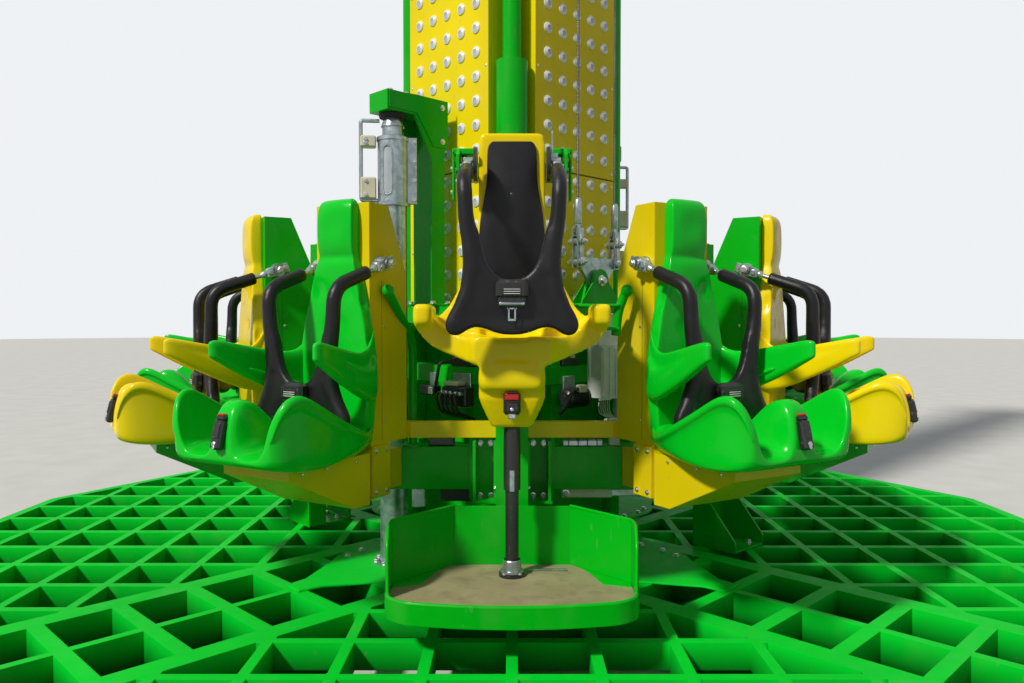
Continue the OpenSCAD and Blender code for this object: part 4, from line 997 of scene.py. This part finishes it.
for angle in STAND_AT:
    at, post = place_at(angle), place_at(angle, SADDLE_POST_R)
    for side in (-1, 1):
        # Bolts of the ring bracket and of the post
        steel.add_bolts(0.0125, at, [(0.957, side * y, z) for y in (0.134, 0.088) for z in (0.829, 0.607)],
                        ALONG_X)
        steel.add_bolts(0.012, at, [(1.05, side * 0.2195, z) for z in (1.905, 1.955)], SIDEWAYS[side])
        steel.add_bolts(0.012, at, [(1.06, side * 0.0655, z) for z in (0.50, 0.66, 1.02)], SIDEWAYS[side])
        # Latch strap and springs behind the round guards
        dark.add(block((0.030, 0.012, 0.120), (1.232, side * 0.172, 1.895), 0.003), at, 0)
        dark.add(tube([(1.20, side * 0.185, 1.86), (1.20, side * 0.185, 1.98)], 0.008, 10), at, 0)
    dark.add_blocks(at, [
        ((0.018, 0.006, 0.105), (1.262, 0.152, 2.008), 0.002, 1),
        ((0.024, 0.030, 0.020), (1.258, 0.160, 1.965), 0.003, 1),
    ])
    # Flange, plain plate and bright collar on the saddle post, and the strip of its lock
    dark.add(lathe([(0.032, 0.404), (0.044, 0.404), (0.044, 0.412), (0.032, 0.414)], 24), post, 1)
    dark.add(curved(0.0319, 0.27, 0.712, 0.79), post, 1)
    corners = [math.tau * (k + 0.5) / 4 for k in range(4)]
    spots = [(SADDLE_POST_R + 0.041 * math.cos(a), 0.041 * math.sin(a), 0.402) for a in corners]
    steel.add_bolts(0.008, at, spots)
    dark.add(lathe([(0.0315, 0.402), (0.0345, 0.404), (0.0345, 0.448), (0.0315, 0.452)], 32), post, 1)
    dark.add(block((0.016, 0.150, 0.006), (1.275, 0.135, 0.3935), 0.002), at, 1)
    # Cross plate between the post and the mast
    dark.add(block((0.10, 0.17, 0.06), (0.90, 0.0, 0.86), 0.008), at, 0)

for angle in GREEN_AT + YELLOW_AT:
    at = place_at(angle)
    for side in (-1, 1):
        turn = SIDEWAYS[side]
        # Seam of the housing's cover with its screws, bolts of its lower flange and of the hinge
        dark.add(block((0.0016, 0.0012, 0.63), (1.258, side * HOUSING_HALF, 1.185), 0.0003), at, 0)
        for z in (0.95, 1.32):
            steel.add(screw(0.0065), at @ shift(1.246, side * HOUSING_HALF, z) @ turn)
        flange = [(x, side * (HOUSING_HALF + 0.010), z) for x in (1.243, 1.305) for z in (0.675, 0.835)]
        steel.add_bolts(0.009, at, flange, turn)
        steel.add_bolts(0.014, at, [(PIVOT_R, side * 0.2015, PIVOT_Z)], turn)
        # Screws that hold the box under the pan
        for x in (1.47, 1.62, 1.74):
            steel.add(screw(0.006), at @ shift(x, side * 0.186, 0.822) @ turn)

for face in FACES_AT:
    at = place_at(face)
    for side in (-1, 1):
        # Corner bolts of the frame levels, seen on the outer faces
        corners = [(0.59, side * y, z) for z in (0.72, 1.09, 1.37) for y in (0.43, 0.50)]
        steel.add_bolts(0.014, at, corners, ALONG_X)
    # Bolts where an arm meets the hub, its joint plate and its end plate
    for side in (-1, 1):
        hub = [(0.41, side * y, z) for z in (0.05, 0.15) for y in (0.335, 0.385)]
        ground.add_bolts(0.016, at, hub, ALONG_X)
        ground.add(block((0.30, 0.092, 0.012), (0.41, side * 0.36, 0.206), 0.003), at, 1)
        joint = [(x, side * y, 0.212) for x in (0.29, 0.37, 0.45, 0.53) for y in (0.338, 0.382)]
        ground.add_bolts(0.014, at, joint)
        ground.add(block((0.008, 0.092, 0.16), (2.60, side * 0.36, 0.10), 0.002), at, 1)
piece("base_bolts", ground, "tower", [bolt_zinc, base_paint])
piece("carriage_bolts", steel, "carriage", bolt_zinc)
piece("carriage_fittings", dark, "carriage", [black_metal, galvanised])


# Grab handles
handles = Shape()
BALL = [(0, -0.0255), (0.013, -0.022), (0.0225, -0.012), (0.0255, 0), (0.0225, 0.012), (0.013, 0.022),
        (0, 0.0255)]
for angle in STAND_AT:
    # The right one is short, straight and held by the shell alone
    right, left = place_at(angle), place_at(angle) @ MIRROR
    short = bend([(1.130, 0.412, 1.286), (1.142, 0.418, 1.380), (1.165, 0.446, 1.458)], 0.06, 6)
    handles.add(tube(short, 0.0185, 18), right)
    for z in (1.312, 1.404):
        handles.add(block((0.060, 0.160, 0.012), (1.145, 0.342, z), 0.003), right)
    handles.add(lathe(BALL, 20), right @ shift(1.168, 0.450, 1.461))
    # The left one leans, stands on the ring and has a stay to the post
    handles.add(lathe(BALL, 20), left @ shift(1.168, 0.485, 1.461))
    grip = bend([(0.925, 0.420, 0.812), (0.925, 0.420, 1.262), (1.050, 0.448, 1.352),
                 (1.165, 0.484, 1.458)], 0.11, 7)
    handles.add(tube(grip, 0.0185, 18), left)
    stay = bend([(0.962, 0.426, 1.300), (0.985, 0.380, 1.345), (1.020, 0.325, 1.352)], 0.04, 4)
    handles.add(tube(stay, 0.0150, 14), left)
    handles.add(lathe([(0.020, 0), (0.020, 0.010), (0.016, 0.016), (0, 0.016)], 16),
                left @ shift(1.014, 0.334, 1.3505) @ Matrix.Rotation(math.radians(58), 4, "Z") @ ALONG_X)
    handles.add(lathe([(0.040, 0.812), (0.040, 0.820), (0.022, 0.824)], 24), left @ shift(0.925, 0.420, 0))
piece("bent_grab_handles", handles, "carriage", green_paint, crease=40,
      stands_for="grab_handles")


# Foot platforms
def smooth_line(points, steps=8):
    """A Catmull-Rom curve through points of a plan."""
    points = [Vector(p) for p in points]
    made = []
    for i in range(len(points) - 1):
        a, b, c, d = points[max(i - 1, 0)], points[i], points[i + 1], points[min(i + 2, len(points) - 1)]
        for t in [k / steps for k in range(steps)]:
            square, cube = 2 * a - 5 * b + 4 * c - d, 3 * b - a - 3 * c + d
            made.append(0.5 * (2 * b + (c - a) * t + square * t * t + cube * t ** 3))
    return made + [points[-1]]


# Rolled edge of the platform's wall and rim, and bare floor at the mat's back corners
rim_half = [(1.550, 0.440), (1.605, 0.422), (1.645, 0.378), (1.666, 0.320), (1.692, 0.160), (1.700, 0)]
rim = smooth_line(rim_half + [(x, -y) for x, y in rim_half[-2::-1]])
skirt, inner = [], []
for i, p in enumerate(rim):
    along = (rim[min(i + 1, len(rim) - 1)] - rim[max(i - 1, 0)]).normalized()
    out = Vector((-along.y, along.x))
    skirt.append([(*(p - 0.001 * out), 0.327), (*(p + 0.003 * out), 0.328), (*(p + 0.003 * out), 0.400),
                  (*(p - 0.001 * out), 0.402)])
    if p.x > 1.592:
        inner.append((*(p - 0.004 * out), 0.401))
side_edge = [(1.195, 0.228, 0.620), (1.419, 0.4365, 0.620), (1.506, 0.4365, 0.620), (1.563, 0.431, 0.560),
             (1.578, 0.428, 0.403)]
edge = bend(side_edge + inner[:1], 0.02, 4)[:-1] + [Vector(p) for p in inner]
edge += bend([(x, -y, z) for x, y, z in side_edge] + [inner[-1]], 0.02, 4)[-2::-1]
bare = [(1.235, 0.258), (1.300, 0.292), (1.436, 0.330), (1.470, 0.430), (1.424, 0.430)]
trim = Shape()
for angle in STAND_AT:
    at = place_at(angle)
    trim.add(strips(skirt, True), at).add(tube(edge, 0.0062, 10), at)
    for mirror in (SAME, MIRROR):
        trim.add(prism(bare, 0.389, 0.3925, 0.0005), at @ mirror)
piece("platform_trim", trim, "carriage", green_paint, crease=40)


# Landing stops: two gusset plates each, on a bolted foot plate
stops = Shape()
gusset = [(0, 0), (0.243, 0), (0.247, 0.006), (0.247, 0.050), (0.240, 0.062), (0.068, 0.262),
          (0.056, 0.268), (0.003, 0.268), (0, 0.264)]
for angle in (0, 180):
    at = Matrix.Rotation(math.radians(angle), 4, "Z") @ shift(1.02, -0.16, 0.2)
    at = at @ Matrix.Rotation(math.radians(-48), 4, "Z")
    for y in (-0.130, 0.118):
        stops.add(prism(gusset, 0, 0.012), at @ facing_side(y + 0.012))
    stops.add(block((0.012, 0.096, 0.264), (0.006, 0.074, 0.135), 0.002), at)
    stops.add(block((0.246, 0.256, 0.012), (0.124, 0, 0.0065), 0.002), at)
    for y in (-0.116, 0.116):
        stops.add(tube([(0.012, y, 0.0125), (0.245, y, 0.0125)], 0.004, 8), at)
    stops.add_bolts(0.018, at, [(x, y, 0.0125) for x in (0.06, 0.19) for y in (-0.08, 0.08)], slot=1)
piece("landing_stops", stops, "tower", [green_paint, bolt_zinc],
      stands_for="landing_brackets")

# Gusset plates where the arms leave the hub
hub_plates = Shape()
half = [(0.62, 0.300), (0.84, 0.296), (0.93, 0.262), (1.02, 0.190), (1.12, 0.130), (1.22, 0.066),
        (1.32, 0.052)]
outline = [(x, -y) for x, y in half] + half[::-1]
for angle in FACES_AT:
    at = place_at(angle)
    hub_plates.add(prism(outline, 0.2005, 0.2095, 0.002), at)
    spots = [(x, side * y, 0.2095) for x, y in ((0.67, 0.25), (0.80, 0.25), (0.90, 0.22))
             for side in (-1, 1)]
    hub_plates.add_bolts(0.014, at, spots, slot=1)
piece("hub_plates", hub_plates, "tower", [base_paint, bolt_zinc])


# Gear between the frames, with finishes black moulding, zinc, cream, bolt zinc and white pipe
gear = Shape()
motor_profile = [(0, -0.075), (0.030, -0.075), (0.040, -0.068), (0.042, -0.060), (0.042, 0.045),
                 (0.047, 0.048), (0.047, 0.062), (0.018, 0.066), (0.018, 0.085), (0, 0.085)]
for turn in STAND_AT:
    left, right, low = place_at(315 + turn), place_at(45 + turn), place_at(turn)
    # Brackets on the frame that carry the valve block, the small box and the motor
    gear.add_blocks(left, [
        ((0.010, 0.120, 0.160), (0.594, 0.270, 1.020), 0.002, 1),
        ((0.010, 0.050, 0.110), (0.594, 0.062, 1.040), 0.002, 1),
    ])
    gear.add(block((0.012, 0.080, 0.150), (0.594, -0.222, 1.010), 0.002), right, 1)
    # Valve block with its cream manifold, hoses and a small box on the left
    gear.add_blocks(left, [
        ((0.060, 0.165, 0.088), (0.622, 0.270, 0.996), 0.006, 0),
        ((0.052, 0.105, 0.020), (0.624, 0.245, 1.0525), 0.004, 2),
    ])
    for y in (0.205, 0.235, 0.265, 0.30, 0.33):
        gear.add(lathe([(0.011, 0), (0.011, 0.014), (0.007, 0.018), (0.007, 0.030), (0, 0.030)], 12),
                 left @ shift(0.653, y, 1.01) @ ALONG_X, 1)
        hose = bend([(0.672, y, 1.01), (0.697, y, 1.005), (0.690, y + 0.012, 0.93),
                     (0.60, y + 0.03, 0.895)], 0.03, 4)
        gear.add(tube(hose, 0.0065, 8), left, 0)
    gear.add_blocks(left, [
        ((0.050, 0.110, 0.046), (0.616, 0.062, 1.012), 0.005, 0),
        ((0.012, 0.030, 0.034), (0.644, 0.10, 1.012), 0.003, 3),
        ((0.055, 0.150, 0.040), (0.570, 0.262, 1.151), 0.005, 0),
        ((0.020, 0.034, 0.016), (0.588, 0.235, 1.178), 0.003, 2),
    ])
    hose = bend([(0.59, 0.19, 1.150), (0.64, 0.16, 1.150), (0.65, 0.15, 1.06), (0.625, 0.11, 1.03)], 0.04,
                5)
    gear.add(tube(hose, 0.008, 10), left, 0)
    # Drive motor with its cooling ribs and junction box on the right
    motor = right @ shift(0.636, -0.222, 0.986) @ ALONG_Y
    gear.add(lathe(motor_profile, 24), motor, 0)
    for z in [-0.055 + 0.012 * k for k in range(9)]:
        gear.add(lathe([(0.041, z), (0.0465, z + 0.0015), (0.0465, z + 0.0045), (0.041, z + 0.006)], 24),
                 motor, 0)
    gear.add(block((0.030, 0.052, 0.036), (0.668, -0.215, 1.030), 0.004), right, 2)
    lead = bend([(0.668, -0.240, 1.03), (0.672, -0.285, 1.03), (0.655, -0.30, 0.955), (0.60, -0.29, 0.915)],
                0.04, 5)
    gear.add(tube(lead, 0.0085, 10), right, 0)
    gear.add_blocks(right, [
        ((0.05, 0.12, 0.036), (0.570, -0.205, 1.149), 0.004, 0),
        ((0.018, 0.028, 0.014), (0.590, -0.190, 1.174), 0.003, 2),
    ])
    # Boxes and trays under and on the ring beside the post
    gear.add_blocks(low, [
        ((0.040, 0.215, 0.040), (0.905, 0.318, 0.611), 0.004, 2),
        ((0.036, 0.200, 0.032), (0.903, 0.520, 0.613), 0.004, 1),
    ])
    gear.add_bolts(0.014, low, [(0.925, 0.228, 0.611)], ALONG_X, 3)
    gear.add_blocks(low, [
        ((0.050, 0.056, 0.082), (0.898, -0.398, 0.590), 0.004, 1),
        ((0.050, 0.130, 0.056), (0.893, -0.240, 0.603), 0.006, 0),
        ((0.070, 0.170, 0.022), (0.895, 0.300, 0.8235), 0.003, 1),
        *[((0.074, 0.004, 0.026), (0.895, y, 0.824), 0.001, 0) for y in (0.24, 0.28, 0.32, 0.36)],
        ((0.050, 0.044, 0.038), (0.898, 0.437, 0.831), 0.004, 4),
        ((0.050, 0.110, 0.030), (0.898, -0.300, 0.828), 0.004, 0),
    ])
piece("carriage_gear", gear, "carriage", [black_moulding, galvanised, cream, bolt_zinc, white_pipe])

# Green caps over the hinges of the standing places
caps = Shape()
for angle in STAND_AT:
    at = place_at(angle)
    for side in (-1, 1):
        caps.add(block((0.050, 0.088, 0.026), (1.192, side * 0.186, 1.992), 0.004), at)
        caps.add(block((0.050, 0.010, 0.190), (1.192, side * 0.2245, 1.900), 0.003), at)
        caps.add_bolts(0.010, at, [(1.192, side * 0.2295, z) for z in (1.84, 1.93)], SIDEWAYS[side], 1)
piece("hinge_caps", caps, "carriage", [green_paint, bolt_zinc])

# Ribs, screws, upper box, duct with its clamps, and wires of the control box
box_trim = Shape()
wall = place_at(45)
box_trim.add_blocks(wall, [
    ((0.006, 0.010, 0.236), (0.6835, y, 1.0975), 0.002, 0) for y in (-0.072, -0.024, 0.024, 0.072)
])
for y in (-0.078, 0.078):
    for z in (0.985, 1.21):
        box_trim.add(screw(0.005), wall @ shift(0.6812, y, z) @ ALONG_X, 2)
box_trim.add_blocks(wall, [
    ((0.060, 0.150, 0.150), (0.622, 0.005, 1.2965), 0.006, 0),
    ((0.006, 0.158, 0.158), (0.655, 0.005, 1.2975), 0.002, 0),
    ((0.026, 0.024, 0.560), (0.616, 0.115, 1.090), 0.004, 1),
    *[((0.044, 0.030, 0.010), (0.611, 0.115, z), 0.002, 2) for z in (1.07, 1.11, 1.345, 1.362)],
])
for k in range(6):
    y = -0.052 + 0.016 * k
    box_trim.add(lathe([(0.007, 0), (0.007, -0.010), (0.004, -0.014), (0, -0.014)], 10),
                 wall @ shift(0.640, y, 0.9695), 2)
    route = [(0.640, y, 0.958), (0.640, y - 0.004, 0.925), (0.634, y + 0.012, 0.895),
             (0.625, 0.060 + 0.006 * k, 0.862)]
    box_trim.add(tube(bend(route, 0.03, 4), 0.0028, 6), wall, 1)
box_trim.add(block((0.030, 0.090, 0.028), (0.620, 0.072, 0.850), 0.003), wall, 1)
piece("control_box_trim", box_trim, "carriage", [grey_box, white_pipe, bolt_zinc])


# Finishes of the frame's own solids
FINISHES = {
    base_paint: ["base_hub", "base_arms", "base_grid_front", "base_grid_right", "base_grid_back",
                 "base_grid_left"],
    green_paint: ["mast_core", "guide_rails", "mast_head", "carriage_side_front_left",
                  "carriage_side_front_right", "carriage_side_back_right", "carriage_side_back_left",
                  "carriage_sleeves", "buffer_posts", "hoist_lugs", "ring_beam", "ring_spokes",
                  "green_housings",
                  "standing_posts", "foot_platforms"],
    yellow_paint: ["yellow_housings", "guard_rails"],
    panel_paint: ["light_panels_front_left", "light_panels_front_right", "light_panels_back_right",
                  "light_panels_back_left"],
    galvanised: ["head_sheaves", "buffers", "hoist_yokes", "pivot_pins"],
    wire_rope: ["cable_returns"],
    black_metal: ["saddle_posts", "pivot_discs"],
    rubber: ["buffer_pads"],
    tan_grit: ["floor_mats"],
    grey_box: ["control_box"],
}
for finish, names in FINISHES.items():
    for name in names:
        mesh = nodes[name].data
        mesh.materials.clear()
        mesh.materials.append(finish)


# Camera, lights and floor
camera = bpy.data.objects.new("camera", bpy.data.cameras.new("camera"))
camera.data.sensor_width, camera.data.lens = 36.0, 28.1
camera.location = (0, -4.3, 1.35)
camera.rotation_euler = (math.radians(90 - 1.61), 0, 0)
bpy.context.scene.collection.objects.link(camera)
bpy.context.scene.camera = camera

sun = bpy.data.objects.new("sun", bpy.data.lights.new("sun", "SUN"))
sun.data.energy, sun.data.angle, sun.data.color = 3.15, math.radians(5), (1.0, 0.97, 0.9)
sun.rotation_euler = Vector((-0.62, -0.62, 0.82)).to_track_quat("Z", "Y").to_euler()
bpy.context.scene.collection.objects.link(sun)

world = bpy.data.worlds.new("studio")
bpy.context.scene.world = world
world.use_nodes = True
sky = Nodes(world.node_tree)
light = sky.tree.nodes["Background"]
light.inputs["Color"].default_value = (0.86, 0.92, 1.0, 1)
light.inputs["Strength"].default_value = 0.30
shown = sky.node("Background", {"Color": (0.86, 0.88, 0.9, 1)})
rays = sky.node("LightPath").outputs
seen = sky.node("Math", {0: rays["Is Glossy Ray"], 1: 0.5, 2: rays["Is Camera Ray"]},
                operation="MULTIPLY_ADD")
blend = sky.node("MixShader", {"Fac": seen.outputs["Value"], 1: light.outputs["Background"],
                               2: shown.outputs["Background"]})
sky.tree.links.new(blend.outputs["Shader"], sky.tree.nodes["World Output"].inputs["Surface"])

concrete = Look("studio_floor", specular=0.2)
rays = concrete.node("LightPath").outputs
seen = concrete.node("Math", {0: rays["Is Camera Ray"], 1: rays["Is Glossy Ray"]}, operation="MAXIMUM")
pale = concrete.ramp(concrete.noise(3, 6), (0.3, (0.62, 0.61, 0.58)), (0.7, (0.68, 0.67, 0.64)))
concrete.join(concrete.mixed(seen.outputs["Value"], (0.24, 0.24, 0.23, 1), pale), "Base Color")
concrete.shader.inputs["Roughness"].default_value = 0.8
floor = bpy.data.objects.new("floor", lathe([(0, -0.001), (60, -0.001)], 64).mesh("floor"))
floor.data.flip_normals()
floor.data.materials.append(concrete.material)
bpy.context.scene.collection.objects.link(floor)
floor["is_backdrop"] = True

bpy.context.scene.view_settings.view_transform = "Standard"
low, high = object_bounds()
